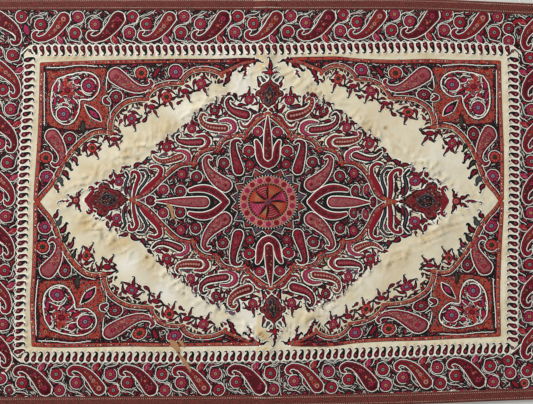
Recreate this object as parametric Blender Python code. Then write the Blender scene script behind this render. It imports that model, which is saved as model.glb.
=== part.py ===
"""Embroidered cover, laid flat: one lined cotton panel with a woven tape sewn along each of its four edges.

Metres, +Z up. The panel lies face up on z = 0 with its long side along X, and its own box is centred on the
origin. Nothing moves: the panel and the tapes are sewn together.
"""

from collections import namedtuple
from math import cos, hypot, pi

import bmesh
import bpy

MM = 0.001

# The cloth. It is cotton with silk stitching and a lining, so it is a thick sheet.
CLOTH_THICKNESS = 2.0 * MM
TAPE_THICKNESS = 1.2 * MM
TAPE_WIDTH = 29.0 * MM
SEAM_GAP = 0.3 * MM

# How far each edge lies from the panel's centre, at five even steps along it. The weave has pulled out of
# square: the left edge is the longer one, and the bottom edge climbs to the right.
Edge = namedtuple("Edge", "start quarter middle three_quarters end")
TOP_EDGE = Edge(511 * MM, 512 * MM, 512 * MM, 511 * MM, 497 * MM)
BOTTOM_EDGE = Edge(-512 * MM, -511 * MM, -508 * MM, -501 * MM, -488 * MM)
LEFT_EDGE = Edge(-745 * MM, -742 * MM, -736 * MM, -728 * MM, -720 * MM)
RIGHT_EDGE = Edge(741 * MM, 743 * MM, 745 * MM, 744 * MM, 743 * MM)

# Soft ridges that the cloth keeps: each runs from one point to another and dies out at both ends.
Fold = namedtuple("Fold", "x0 y0 x1 y1 height half_width")
FOLDS = (
    Fold(1 * MM, -640 * MM, 1 * MM, 640 * MM, 5.0 * MM, 34 * MM),  # kept folded in half
    Fold(433 * MM, 10 * MM, 424 * MM, -170 * MM, 4.0 * MM, 42 * MM),  # right field, lower
    Fold(428 * MM, 165 * MM, 395 * MM, 35 * MM, 3.5 * MM, 42 * MM),  # right field, upper
    Fold(120 * MM, 325 * MM, 320 * MM, 165 * MM, 3.0 * MM, 42 * MM),  # right field, top
    Fold(-370 * MM, -40 * MM, -295 * MM, -250 * MM, 4.0 * MM, 45 * MM),  # left field, lower
    Fold(-270 * MM, 270 * MM, -50 * MM, 340 * MM, 3.5 * MM, 42 * MM),  # left field, top
    Fold(-595 * MM, 120 * MM, -575 * MM, -270 * MM, 3.5 * MM, 42 * MM),  # left plain strip
    Fold(610 * MM, -150 * MM, 565 * MM, -310 * MM, 3.5 * MM, 40 * MM),  # right plain strip
)
END_FADE = 90 * MM

# The mesh: lines close together over the middle fold, then even ones out to the tapes.
MIDDLE_LINES = (0.0, 9.0 * MM, 20.0 * MM, 34.0 * MM)
LINE_SPACING = 30.0 * MM

CLOTH_COLOUR = (0.76, 0.68, 0.48, 1.0)
TAPE_COLOUR = (0.15, 0.03, 0.02, 1.0)


def clear_scene():
    for obj in list(bpy.data.objects):
        bpy.data.objects.remove(obj, do_unlink=True)


def fabric(name, colour):
    material = bpy.data.materials.new(name)
    material.use_nodes = True
    surface = material.node_tree.nodes["Principled BSDF"]
    surface.inputs["Base Color"].default_value = colour
    surface.inputs["Roughness"].default_value = 0.9
    surface.inputs["Metallic"].default_value = 0.0
    return material


def along(edge, share):
    """A smooth curve through the edge's five values, at a share of its length from 0 to 1."""
    last = len(edge) - 1
    step = min(int(share * last), last - 1)
    t = share * last - step
    here, beyond = edge[step], edge[step + 1]
    before = edge[max(step - 1, 0)]
    after = edge[min(step + 2, last)]
    slope_in = (beyond - before) / 2
    slope_out = (after - here) / 2
    return (
        here * (2 * t**3 - 3 * t**2 + 1)
        + slope_in * (t**3 - 2 * t**2 + t)
        + beyond * (3 * t**2 - 2 * t**3)
        + slope_out * (t**3 - t**2)
    )


def plan_point(u, v):
    """The place in plan of the panel's point at u across (0 left, 1 right) and v up (0 bottom, 1 top)."""
    x = along(LEFT_EDGE, v) * (1 - u) + along(RIGHT_EDGE, v) * u
    y = along(BOTTOM_EDGE, u) * (1 - v) + along(TOP_EDGE, u) * v
    return x, y


def fade(distance, reach):
    """1 at no distance, falling smoothly to 0 at the reach."""
    if distance >= reach:
        return 0.0
    return 0.5 + 0.5 * cos(pi * distance / reach)


def fold_height(x, y):
    """How high the underside lies above the table at a point of the plan."""
    height = 0.0
    for fold in FOLDS:
        run_x, run_y = fold.x1 - fold.x0, fold.y1 - fold.y0
        length = hypot(run_x, run_y)
        run_x, run_y = run_x / length, run_y / length
        ahead = (x - fold.x0) * run_x + (y - fold.y0) * run_y
        aside = abs((x - fold.x0) * run_y - (y - fold.y0) * run_x)
        past_middle = abs(ahead - length / 2)
        towards_end = max(past_middle - (length / 2 - END_FADE), 0.0)
        height += fold.height * fade(aside, fold.half_width) * fade(towards_end, END_FADE)
    return height


def mesh_lines(half_size, middle_lines):
    """Distances of the mesh lines from one edge to the other, as shares of the whole size."""
    first = middle_lines[-1]
    inner_edge = half_size - TAPE_WIDTH
    steps = round((inner_edge - first) / LINE_SPACING)
    spread = [first + (inner_edge - first) * n / steps for n in range(1, steps + 1)]
    half = list(middle_lines) + spread + [half_size]
    places = sorted({-place for place in half} | set(half))
    return [0.5 + place / (2 * half_size) for place in places]


def build_grid():
    """The panel's points in plan by column and row, and the triangles between them, face up."""
    half_length = (RIGHT_EDGE.middle - LEFT_EDGE.middle) / 2
    half_width = (TOP_EDGE.middle - BOTTOM_EDGE.middle) / 2
    columns = mesh_lines(half_length, MIDDLE_LINES)
    rows = mesh_lines(half_width, MIDDLE_LINES[:1])
    points = {}
    for i, u in enumerate(columns):
        for j, v in enumerate(rows):
            points[i, j] = plan_point(u, v)
    right, top = len(columns) - 1, len(rows) - 1
    cells = {}
    for i in range(right):
        for j in range(top):
            corners = [(i, j), (i + 1, j), (i + 1, j + 1), (i, j + 1)]
            mitre_rises = (i < right / 2) == (j < top / 2)
            if not mitre_rises:
                corners = corners[1:] + corners[:1]
            cells[i, j] = (
                (corners[0], corners[1], corners[2]),
                (corners[0], corners[2], corners[3]),
            )
    return points, cells, right, top


def centred(points):
    """The same points with the middle of their own box at the origin."""
    xs = [x for x, y in points.values()]
    ys = [y for x, y in points.values()]
    middle_x = (min(xs) + max(xs)) / 2
    middle_y = (min(ys) + max(ys)) / 2
    return {key: (x - middle_x, y - middle_y) for key, (x, y) in points.items()}


def sheet_solid(name, points, triangles, underside, thickness, material):
    """A sheet of triangles, raised by its thickness into a closed solid that follows the folds."""
    shape = bmesh.new()
    vertices = {}
    for key in sorted({corner for triangle in triangles for corner in triangle}):
        x, y = points[key]
        vertices[key] = shape.verts.new((x, y, fold_height(x, y) + underside))
    for triangle in triangles:
        shape.faces.new([vertices[corner] for corner in triangle])
    raised = bmesh.ops.extrude_face_region(shape, geom=shape.faces[:])
    top = [part for part in raised["geom"] if isinstance(part, bmesh.types.BMVert)]
    bmesh.ops.translate(shape, vec=(0, 0, thickness), verts=top)
    bmesh.ops.recalc_face_normals(shape, faces=shape.faces[:])
    mesh = bpy.data.meshes.new(name)
    shape.to_mesh(mesh)
    shape.free()
    mesh.materials.append(material)
    obj = bpy.data.objects.new(name, mesh)
    bpy.context.collection.objects.link(obj)
    return obj


def tape_triangles(cells, right, top, side):
    """The triangles under one tape: its strip of cells, with each corner cell shared along the mitre."""
    axis = 0 if side in ("left", "right") else 1
    edge = {"left": 0, "bottom": 0, "right": right, "top": top}[side]
    strip = 0 if edge == 0 else edge - 1
    chosen = []
    for cell, pair in cells.items():
        if cell[axis] != strip:
            continue
        at_corner = cell[0] in (0, right - 1) and cell[1] in (0, top - 1)
        for triangle in pair:
            corners_on_edge = sum(corner[axis] == edge for corner in triangle)
            if not at_corner or corners_on_edge == 2:
                chosen.append(triangle)
    return chosen


def mitred(points, right, top, side):
    """The panel's points with this tape's mitre ends drawn in, so that two tapes don't touch there."""
    inset = SEAM_GAP * 0.75
    moved = dict(points)
    corner_keys = {
        (0, 0): (1, 1),
        (0, top): (1, top - 1),
        (right, 0): (right - 1, 1),
        (right, top): (right - 1, top - 1),
    }
    for outer, inner in corner_keys.items():
        for key in (outer, inner):
            x, y = points[key]
            if side in ("top", "bottom"):
                x += inset if outer[0] == 0 else -inset
            else:
                y += inset if outer[1] == 0 else -inset
            moved[key] = (x, y)
    return moved


def build_part():
    clear_scene()
    points, cells, right, top = build_grid()
    points = centred(points)
    whole = [triangle for pair in cells.values() for triangle in pair]
    cloth = fabric("embroidered cotton", CLOTH_COLOUR)
    tape = fabric("woven tape", TAPE_COLOUR)
    sheet_solid("ground_cloth", points, whole, 0.0, CLOTH_THICKNESS, cloth)
    tape_underside = CLOTH_THICKNESS + SEAM_GAP
    for side in ("top", "bottom", "left", "right"):
        triangles = tape_triangles(cells, right, top, side)
        places = mitred(points, right, top, side)
        sheet_solid(f"edge_tape_{side}", places, triangles, tape_underside, TAPE_THICKNESS, tape)


build_part()
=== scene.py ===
"""Looks of the embroidered cover: the cloth, its woven tapes and every thread stitched on it.

The pattern is worked out flat, as an embroiderer draws it on squared paper. One square is 2.5 mm of cloth,
and places are counted in squares across and down from the paper's top left corner. One quarter of the
middle field is drawn and turned over for the other three, then drawn out of square as the cloth is.
"""

from collections import namedtuple
from math import cos, pi, radians, sin

import bpy
import numpy as np
from bpy.props import FloatProperty, FloatVectorProperty, PointerProperty
from bpy.types import Operator, Panel, PropertyGroup
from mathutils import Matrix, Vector
from mathutils.geometry import delaunay_2d_cdt


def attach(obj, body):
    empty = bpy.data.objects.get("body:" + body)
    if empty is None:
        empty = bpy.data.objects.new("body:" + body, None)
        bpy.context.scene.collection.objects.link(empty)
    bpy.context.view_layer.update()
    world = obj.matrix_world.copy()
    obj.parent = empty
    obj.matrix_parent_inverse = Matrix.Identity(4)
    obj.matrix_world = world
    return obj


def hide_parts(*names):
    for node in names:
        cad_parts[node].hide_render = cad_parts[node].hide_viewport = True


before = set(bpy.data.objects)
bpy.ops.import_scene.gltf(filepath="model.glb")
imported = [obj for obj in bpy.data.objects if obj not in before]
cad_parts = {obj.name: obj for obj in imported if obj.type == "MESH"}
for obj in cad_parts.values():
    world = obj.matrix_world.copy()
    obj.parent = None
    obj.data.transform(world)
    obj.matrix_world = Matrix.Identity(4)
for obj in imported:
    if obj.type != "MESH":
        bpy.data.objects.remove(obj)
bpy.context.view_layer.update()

bl_info = {
    "name": "Embroidered cover",
    "version": (1, 0, 0),
    "blender": (4, 5, 0),
    "location": "3D View > Sidebar > Cover",
    "description": "Builds an embroidered cotton cover with its tapes and threads",
    "category": "Object",
}

MM = 0.001

# ---------------------------------------------------------------- the cloth's shape, as in the construction

Edge = namedtuple("Edge", "start quarter middle three_quarters end")
TOP_EDGE = Edge(511 * MM, 512 * MM, 512 * MM, 511 * MM, 497 * MM)
BOTTOM_EDGE = Edge(-512 * MM, -511 * MM, -508 * MM, -501 * MM, -488 * MM)
LEFT_EDGE = Edge(-745 * MM, -742 * MM, -736 * MM, -728 * MM, -720 * MM)
RIGHT_EDGE = Edge(741 * MM, 743 * MM, 745 * MM, 744 * MM, 743 * MM)
HALF_LENGTH = (RIGHT_EDGE.middle - LEFT_EDGE.middle) / 2
HALF_WIDTH = (TOP_EDGE.middle - BOTTOM_EDGE.middle) / 2

Fold = namedtuple("Fold", "x0 y0 x1 y1 height half_width")
FOLDS = (
    Fold(1 * MM, -640 * MM, 1 * MM, 640 * MM, 5.0 * MM, 34 * MM),  # kept folded in half
    Fold(433 * MM, 10 * MM, 424 * MM, -170 * MM, 4.0 * MM, 42 * MM),  # right field, lower
    Fold(428 * MM, 165 * MM, 395 * MM, 35 * MM, 3.5 * MM, 42 * MM),  # right field, upper
    Fold(120 * MM, 325 * MM, 320 * MM, 165 * MM, 3.0 * MM, 42 * MM),  # right field, top
    Fold(-370 * MM, -40 * MM, -295 * MM, -250 * MM, 4.0 * MM, 45 * MM),  # left field, lower
    Fold(-270 * MM, 270 * MM, -50 * MM, 340 * MM, 3.5 * MM, 42 * MM),  # left field, top
    Fold(-595 * MM, 120 * MM, -575 * MM, -270 * MM, 3.5 * MM, 42 * MM),  # left plain strip
    Fold(610 * MM, -150 * MM, 565 * MM, -310 * MM, 3.5 * MM, 40 * MM),  # right plain strip
)
END_FADE = 90 * MM

# ---------------------------------------------------------------- the pattern paper

SQUARE = 2.5 * MM
PAPER_MIDDLE = (266.7, 203.4)  # the square over the middle of the cloth
MEDALLION = (268.2, 201.7)  # the square over the middle of the medallion

# Pins between the paper and the cloth: a place on the paper, then where it has come to lie on the cloth.
# Between them the cloth gives way smoothly.
PINS = (
    (268.2, 201.7, 268.2, 201.7), (239.5, 201.7, 239.5, 201.7), (296.9, 201.7, 296.9, 201.7),
    (268.2, 176, 268.2, 176), (268.2, 227.4, 268.4, 228), (268.2, 113.4, 267.9, 113.4),
    (268.2, 60, 270.6, 59.6), (268.2, 290, 271, 288.8), (268.2, 343.4, 275, 344),
    (130.9, 201.7, 130.9, 199.9), (60, 201.7, 60, 201), (405.5, 201.7, 393.2, 201.7),
    (476.4, 201.7, 479, 201.2), (411, 201.7, 405.6, 201.2), (429.4, 201.7, 427.4, 201),
    (451.4, 201.7, 448.4, 201.2), (461, 201.7, 456, 201.2), (40.2, 62.5, 40.2, 62.5), (38, 130, 38, 130),
    (110, 60.5, 110, 60.5), (180, 59.5, 180, 59.5), (110, 130, 110, 130), (89, 86, 89, 86),
    (224, 163, 224, 163), (200, 150, 200, 150), (38, 198, 36, 198), (496.2, 62.5, 500.6, 60.7),
    (498.4, 130, 503, 130), (498.4, 198, 501.8, 197), (426.4, 60.5, 429, 59.4), (356.4, 59.5, 357, 59),
    (424.4, 133.6, 432.6, 127.4), (388.4, 99.2, 389, 98), (354.4, 83.8, 356.2, 79.6),
    (313.8, 77, 321, 74.4), (334.8, 84, 338, 78.6), (369.4, 97.2, 370.6, 90.6), (404.4, 118.6, 408, 112),
    (444.4, 148.4, 452, 143.4), (321, 110.6, 323.6, 111.4), (344.4, 128.8, 347, 127.8),
    (447.4, 86, 452, 85), (472.9, 114, 478, 107.5), (312.4, 163, 312.5, 162), (355.4, 191, 355, 190.5),
    (342.4, 164, 341.5, 163), (40.2, 340.9, 31.8, 346.5), (38, 273, 32, 273), (38, 306, 28.8, 306),
    (110, 342.9, 102, 346.5), (180, 343.9, 176, 346), (112, 269.9, 104.8, 274), (148, 304.2, 152, 307.6),
    (92, 255, 86.6, 255.4), (132, 284.8, 132.2, 290), (167, 306.2, 169.4, 314), (201.6, 319.4, 203.6, 324),
    (166.6, 256, 166.9, 258.6), (192, 274.6, 190.6, 278.6), (89, 317.4, 85.5, 321.5),
    (63.5, 289.4, 57.5, 295), (69.5, 264.4, 65.5, 270.5), (224, 240.4, 223, 243),
    (496.2, 340.9, 500.3, 336.4), (498.4, 273, 500.5, 273), (426.4, 342.9, 424, 340),
    (356.4, 343.9, 352, 343), (424.4, 269.9, 432.4, 271), (388.4, 304.2, 383, 304.6),
    (354.4, 319.6, 350, 323.4), (334.8, 319.4, 333.2, 324.4), (369.4, 306.2, 366, 309),
    (404.4, 284.8, 406.4, 286.8), (444.4, 255, 448.8, 258), (321, 292.8, 325.8, 293.4),
    (344.4, 274.6, 348.4, 276.6), (369.8, 256, 370.4, 258.8), (447.4, 317.4, 451.5, 315),
    (472.9, 289.4, 473, 291), (466.9, 264.4, 467, 264.5), (312.4, 240.4, 313, 242),
)

# Heights of the stitching above the cloth, from what lies lowest to what lies highest.
GROUND_RISE = 0.18 * MM  # the close stitching that covers the cloth between the figures
LEVELS = tuple(level * MM for level in (0.0, 0.35, 0.6, 0.85, 1.05, 1.25, 1.4, 1.55, 1.7, 1.85, 2.0, 2.1))
CORD_RISE = 0.35 * MM
SINK = 0.05 * MM  # how far a layer of stitches reaches into the one below it


def seat_and_top(level):
    return LEVELS[level - 1] - SINK, LEVELS[level]


def ridged(half):
    """The offsets of a strip's two sides and of the ridge between them."""
    return np.stack([-half, half * 0, half], axis=1)


def smooth_rows(rows, step):
    """A table's rows (x, y and any widths) made a smooth run of rows about a step apart."""
    rows = np.asarray(rows, float)
    gaps = np.hypot(*np.diff(rows[:, :2], axis=0).T)
    places = np.concatenate([[0], np.cumsum(gaps)])
    count = max(int(np.ceil(places[-1] / step)), 2)
    wanted = np.linspace(0, places[-1], count + 1)
    slopes = np.gradient(rows, places, axis=0)
    at = np.clip(np.searchsorted(places, wanted, side="right") - 1, 0, len(places) - 2)
    span = gaps[at][:, None]
    t = (wanted - places[at])[:, None] / span
    return (
        rows[at] * (2 * t**3 - 3 * t**2 + 1)
        + slopes[at] * span * (t**3 - 2 * t**2 + t)
        + rows[at + 1] * (3 * t**2 - 2 * t**3)
        + slopes[at + 1] * span * (t**3 - t**2)
    )


def unit(vectors):
    return vectors / np.maximum(np.linalg.norm(vectors, axis=-1, keepdims=True), 1e-9)


def normals_of(line):
    """The sideways direction at each point of a line."""
    ahead = unit(np.gradient(line, axis=0))
    return np.stack([-ahead[:, 1], ahead[:, 0]], axis=1)


CAP_ANGLES = np.linspace(0, pi / 2, 5)[1:]


def rounded(rows):
    """Half-width rows with a round end put on at both ends."""
    rows = np.asarray(rows, float)
    line, half = rows[:, :2], rows[:, 2]
    tail = unit(line[0] - line[1])
    head = unit(line[-1] - line[-2])
    reach = np.sin(CAP_ANGLES)[:, None]
    shrink = np.maximum(np.cos(CAP_ANGLES), 0.03)
    head_line = line[-1] + head * reach * half[-1]
    tail_line = (line[0] + tail * reach * half[0])[::-1]
    new_line = np.concatenate([tail_line, line, head_line])
    new_half = np.concatenate([(half[0] * shrink)[::-1], half, half[-1] * shrink])
    return np.column_stack([new_line, new_half])


def grown(rows, by):
    """The same spine made wider, or narrower and then cut short where nothing is left."""
    rows = np.array(rows, float)
    rows[:, 2] += by
    kept = rows[rows[:, 2] > 0.12]
    return kept if len(kept) > 2 else None


def outline_of(rows):
    """The closed outline of a spine with round ends."""
    ends = rounded(rows)
    sideways = normals_of(ends[:, :2]) * ends[:, 2:3]
    return np.concatenate([ends[:, :2] + sideways, (ends[:, :2] - sideways)[::-1]])


def scattered(outline, pitch, chance):
    """Places about a pitch apart inside a closed outline."""
    low, high = outline.min(axis=0), outline.max(axis=0)
    xs, ys = np.meshgrid(np.arange(low[0], high[0], pitch), np.arange(low[1], high[1], pitch))
    xs = xs.ravel() + chance.uniform(-0.4, 0.4, xs.size) * pitch
    ys = ys.ravel() + chance.uniform(-0.4, 0.4, ys.size) * pitch
    inside = inside_outline(outline, xs, ys)
    return np.column_stack([xs[inside], ys[inside]])


# A curled leaf from foot to tip: ahead and aside as shares of its length, and its half-width as a share.
SPRIG = (
    (0, 0, 0.2), (0.07, 0, 0.62), (0.18, 0, 0.96), (0.32, 0, 1), (0.46, 0.005, 0.84), (0.6, 0.012, 0.62),
    (0.74, 0.035, 0.48), (0.86, 0.08, 0.42), (0.94, 0.15, 0.37), (0.96, 0.23, 0.3), (0.91, 0.3, 0.2),
    (0.84, 0.31, 0.08),
)
HAND_SWAY = 0.16  # squares that a couched line strays to each side
SPRIG_CURL = 11.0  # squares; a longer leaf's curl grows no more
FLECK_RISE = 0.1 * MM
RIM_SHARES = (1.0, 0.84)  # the two rings of points of a round patch
ALL_QUARTERS = ((False, False), (True, False), (False, True), (True, True))  # turned over across, and down


Patch = namedtuple("Patch", "thread paper height quads tris grain drawn_out")


class Basket:
    """Every thread's stitches so far, each patch flat on the paper with its height above the cloth."""

    def __init__(self):
        self.patches = []
        self.solid_marks = []
        self.drawn_out = False  # whether what is added next goes out of square with the cloth

    def mark(self):
        return len(self.patches), len(self.solid_marks)

    def add(self, thread, paper, height, quads, tris, grain):
        self.patches.append(Patch(thread, paper, height, quads, tris, grain, self.drawn_out))

    def keep_clear(self, xs, ys, radii):
        self.solid_marks.append(np.column_stack([xs, ys, np.broadcast_to(radii, np.shape(xs))]))

    def take(self, patches, marks, turns):
        """Adds stitches and their solid marks, turned over in each of the given ways."""
        for turn in turns:
            for patch in patches:
                self.add(patch.thread, turned(patch.paper, *turn), *patch[2:6])
            for solid in marks:
                self.keep_clear(*turned(solid[:, :2], *turn).T, solid[:, 2])

    def turned_over(self, start, across=False, down=False):
        """Copies all since the mark, turned over about the medallion's middle."""
        turns = [(True, False)] * across + [(False, True)] * down + [(True, True)] * (across and down)
        self.take(self.patches[start[0] :], self.solid_marks[start[1] :], turns)

    def body(self, thread, rows, level, grow=0.0, dome=0.0, step=1.4, clear=0.0):
        """A padded shape along a spine of (x, y, half-width) rows."""
        rows = smooth_rows(rows, step)
        if grow:
            rows = grown(rows, grow)
            if rows is None:
                return
        ends = rounded(rows)
        line, half = ends[:, :2], ends[:, 2]
        edge = np.minimum(0.3, half * 0.35)
        seat, top = seat_and_top(level)
        if dome:
            offsets = np.stack([-half, edge - half, half * 0, half - edge, half], axis=1)
            rise = np.array([0, 1, 1, 1, 0]) * (top - seat)
            heights = seat + rise + np.outer(np.minimum(half / 2, 1), [0, 0.3, 1, 0.3, 0]) * dome
        else:
            offsets = np.stack([-half, edge - half, half - edge, half], axis=1)
            heights = [seat, top, top, seat]
        self.add_strip(thread, line, normals_of(line), offsets, heights)
        if clear:
            self.keep_clear(*line.T, half + clear)

    def coats(self, rows, *coats, clear=0.0):
        """Padded shapes one over the other along one spine, each as (thread, level, how much wider)."""
        for thread, level, grow in coats:
            self.body(thread, rows, level, grow=grow, clear=clear)

    def add_strip(self, thread, line, sideways, offsets, heights):
        """A strip of faces along a line, with points at the offsets to the side of each of its points."""
        count, columns = offsets.shape
        paper = line[:, None, :] + sideways[:, None, :] * offsets[:, :, None]
        along = np.concatenate([[0], np.cumsum(np.hypot(*np.diff(line, axis=0).T))])
        grain = np.stack(np.broadcast_arrays(along[:, None], offsets), axis=2)
        i, j = np.meshgrid(np.arange(count - 1), np.arange(columns - 1), indexing="ij")
        first = (i * columns + j).ravel()
        quads = np.stack([first, first + 1, first + columns + 1, first + columns], axis=1)
        heights = np.broadcast_to(heights, offsets.shape).ravel()
        self.add(thread, paper.reshape(-1, 2), heights, quads, None, grain.reshape(-1, 2))

    def cord(
        self, thread, points, half=0.62, level=2, closed=False, step=1.5, smooth=True, clear=0.0,
        rise=CORD_RISE,
    ):
        """A couched line: a thin raised cord along the points."""
        points = np.asarray(points, float)
        if closed:
            points = np.concatenate([points, points[:1]])
        line = smooth_rows(points, step) if smooth else points
        sideways = normals_of(line)
        line = line + sideways * (HAND_SWAY * np.sin(line[:, 0] * 1.1 + line[:, 1] * 1.4))[:, None]
        halves = np.full(len(line), half)
        if closed:
            sideways[0] = sideways[-1] = unit(sideways[0] + sideways[-1])
        else:
            halves[0] = halves[-1] = half * 0.3
        seat, top = seat_and_top(level)
        self.add_strip(thread, line, sideways, ridged(halves), [seat, top + rise, seat])
        if clear:
            self.keep_clear(*line.T, halves + clear)

    def disc(self, thread, x, y, radius, level, sides=16, squash=1.0, lobes=0, clear=0.0):
        """A round padded patch, with a lobed rim if asked."""
        angles = np.linspace(0, 2 * pi, sides, endpoint=False)
        reach = radius * (1 + (0.06 * np.cos(lobes * angles) if lobes else 0))
        ring = np.stack([np.cos(angles) * reach, np.sin(angles) * reach * squash], axis=1)
        paper = np.concatenate([ring * share for share in RIM_SHARES] + [np.zeros((1, 2))]) + (x, y)
        seat, top = seat_and_top(level)
        heights = np.append(np.repeat([seat, top], sides), top)
        ring_at = np.arange(sides)
        after = (ring_at + 1) % sides
        quads = np.stack([ring_at, after, after + sides, ring_at + sides], axis=1)
        tris = np.stack([ring_at + sides, after + sides, np.full(sides, 2 * sides)], axis=1)
        grain = [np.column_stack([angles * radius, np.full(sides, radius * share)]) for share in RIM_SHARES]
        self.add(thread, paper, heights, quads, tris, np.concatenate(grain + [[[0, 0]]]))
        if clear:
            self.keep_clear([x], [y], radius + clear)

    def fleck(self, thread, x, y, angle, length, width, level):
        """One short stitch: a pointed lens of four faces."""
        middle = np.array([x, y])
        ahead = np.array([cos(angle), sin(angle)]) * length / 2
        side = np.array([-sin(angle), cos(angle)]) * width / 2
        paper = np.array([middle - ahead, middle - side, middle + ahead, middle + side, middle])
        seat, top = seat_and_top(level)
        heights = np.array([seat, seat, seat, seat, top + FLECK_RISE])
        tris = np.array([[0, 1, 4], [1, 2, 4], [2, 3, 4], [3, 0, 4]])
        self.add(thread, paper, heights, None, tris, (paper - middle))

    def leaf(self, thread, x0, y0, x1, y1, width, bend=0.0, level=1, core=None, clear=0.4, steps=9):
        """A pointed leaf from its foot to its tip, bent to one side, with a core if asked."""
        start, end = np.array([x0, y0]), np.array([x1, y1])
        run = end - start
        side = np.array([run[1], -run[0]])
        t = np.linspace(0, 1, steps)
        line = start + np.outer(t, run) + np.outer(4 * t * (1 - t) * bend, side)
        half = width / 2 * (0.06 + 0.94 * np.sin(pi * t**0.8) ** 0.75)
        sideways = normals_of(line)
        seat, top = seat_and_top(level)
        offsets = ridged(half)
        self.add_strip(thread, line, sideways, offsets, [seat, top, seat])
        if core:
            kept = slice(1, steps - 2)
            seat = top - 0.2 * MM
            heights = [seat, LEVELS[level + 1], seat]
            self.add_strip(core, line[kept], sideways[kept], offsets[kept] * 0.56, heights)
        if clear:
            self.keep_clear(*line.T, half + clear)

    def sprig(
        self, x0, y0, x1, y1, width, hand=1, core="crimson", body="black", level=1, bend=0.12, halo=0.5
    ):
        """A dark leaf with a bright heart, its tip drawn out into a curl, edged in light thread."""
        start, run = np.array([x0, y0]), np.array([x1 - x0, y1 - y0])
        length = np.hypot(*run)
        side = np.array([run[1], -run[0]]) / length * hand
        ahead, aside, half = np.array(SPRIG).T
        out = aside * min(length, SPRIG_CURL) + 4 * ahead * (1 - ahead) * bend * length
        line = start + np.outer(ahead, run) + np.outer(out, side)
        half = half * width / 2
        sideways = normals_of(line)
        low, top = LEVELS[level - 1], LEVELS[level]
        whole, heart = slice(None), slice(1, 6)
        layers = [(body, half, whole, low + 0.12 * MM, top + 0.25 * MM)]
        if halo:
            layers.append(("cream", half + halo, whole, low - SINK, low + 0.3 * MM))
        if core:
            layers.append((core, half * 0.43, heart, low + 0.3 * MM, top + 0.5 * MM))
        for thread, reach, part, seat, crest in layers:
            self.add_strip(thread, line[part], sideways[part], ridged(reach)[part], [seat, crest, seat])
        self.keep_clear(*line.T, half + 0.3)

    def field(self, thread, outline, level, spacing=6.0):
        """A flat stitched area inside an outline, with points enough inside to follow the cloth."""
        self.area(thread, outline, *seat_and_top(level), spacing)

    def ground(self, thread, outline):
        """The close stitching that covers the cloth inside an outline."""
        self.area(thread, outline, -SINK, GROUND_RISE, 2.6)

    def area(self, thread, outline, seat, top, spacing):
        outline = split_edges(outline, max(spacing, 2.0))
        low, high = outline.min(axis=0) + 2, outline.max(axis=0)
        xs, ys = np.meshgrid(np.arange(low[0], high[0], spacing), np.arange(low[1], high[1], spacing))
        within = np.column_stack([xs.ravel(), ys.ravel()])
        points = np.concatenate([outline, within[inside_outline(outline, *within.T)]])
        count = len(outline)
        edges = [(n, (n + 1) % count) for n in range(count)]
        found = delaunay_2d_cdt([Vector(p) for p in points], edges, [], 0, 1e-4)
        paper = np.array([tuple(v) for v in found[0]])
        middles = np.array([paper[list(face)].mean(axis=0) for face in found[2]])
        tris = np.array(found[2])[inside_outline(outline, *middles.T)]
        height = np.full(len(paper), top)
        height[:count] = seat
        self.add(thread, paper, height, None, tris, paper.copy())


def split_edges(outline, step):
    """The same closed outline with its long edges split, so that it can follow the cloth."""
    outline = np.asarray(outline, float)
    parts = []
    for start, run in zip(outline, np.roll(outline, -1, axis=0) - outline):
        count = max(int(np.hypot(*run) / step), 1)
        parts.append(start + np.outer(np.arange(count) / count, run))
    return np.concatenate(parts)


def turned(paper, across, down):
    """Places of the paper turned over about the medallion's middle."""
    paper = np.array(paper, float)
    for axis, over in enumerate((across, down)):
        if over:
            paper[:, axis] = 2 * MEDALLION[axis] - paper[:, axis]
    return paper


def around(x, y, angle, reach, squash=1.0):
    """The place at an angle and a reach from another one."""
    return x + cos(angle) * reach, y + sin(angle) * reach * squash


def inside_outline(outline, xs, ys):
    """Which of the points lie inside a closed outline."""
    inside = np.zeros(np.shape(xs), bool)
    ahead = np.roll(outline, -1, axis=0)
    for (ax, ay), (bx, by) in zip(outline, ahead):
        if ay == by:
            continue
        crosses = (ys < ay) != (ys < by)
        inside ^= crosses & (xs < (bx - ax) * (ys - ay) / (by - ay) + ax)
    return inside


# ---------------------------------------------------------------- single figures

OUTLINE = 1.0  # squares from a figure's rim to the middle of its light outline
Style = namedtuple("Style", "rim_thread rim line_thread fill_thread")
PLAIN = Style("crimson", 1.1, "black", "wine")
JEWELLED = Style("crimson", 1.9, "black", "brown")
ROSE = Style("crimson", 1.2, "wine", "rose")
DARK = Style("wine", 1.0, None, "crimson")
ORANGE = Style("orange", 1.0, "black", "wine")
BLACK_RIM = Style("black", 0.8, None, "crimson")


def paisley(basket, spine, style, under=False):
    """A teardrop figure with a curled tail, in one of the styles that the cover shows."""
    rows = smooth_rows(spine, 1.4)
    if under:
        basket.body("black", spine, 1, grow=0.6)
    basket.body(style.rim_thread, spine, 2, dome=0.1 * MM, clear=OUTLINE + (0.3 if under else 0.6))
    basket.cord("cream", outline_of(grown(rows, OUTLINE)), 0.52, 1, closed=True, step=1.4)
    if style.line_thread:
        basket.body(style.line_thread, spine, 3, grow=0.4 - style.rim)
    basket.body(style.fill_thread, spine, 4, grow=-style.rim)


THORN_PITCH = 2.7
THORN_GAP = 2.2  # squares from a figure's rim to its thorned outline


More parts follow.
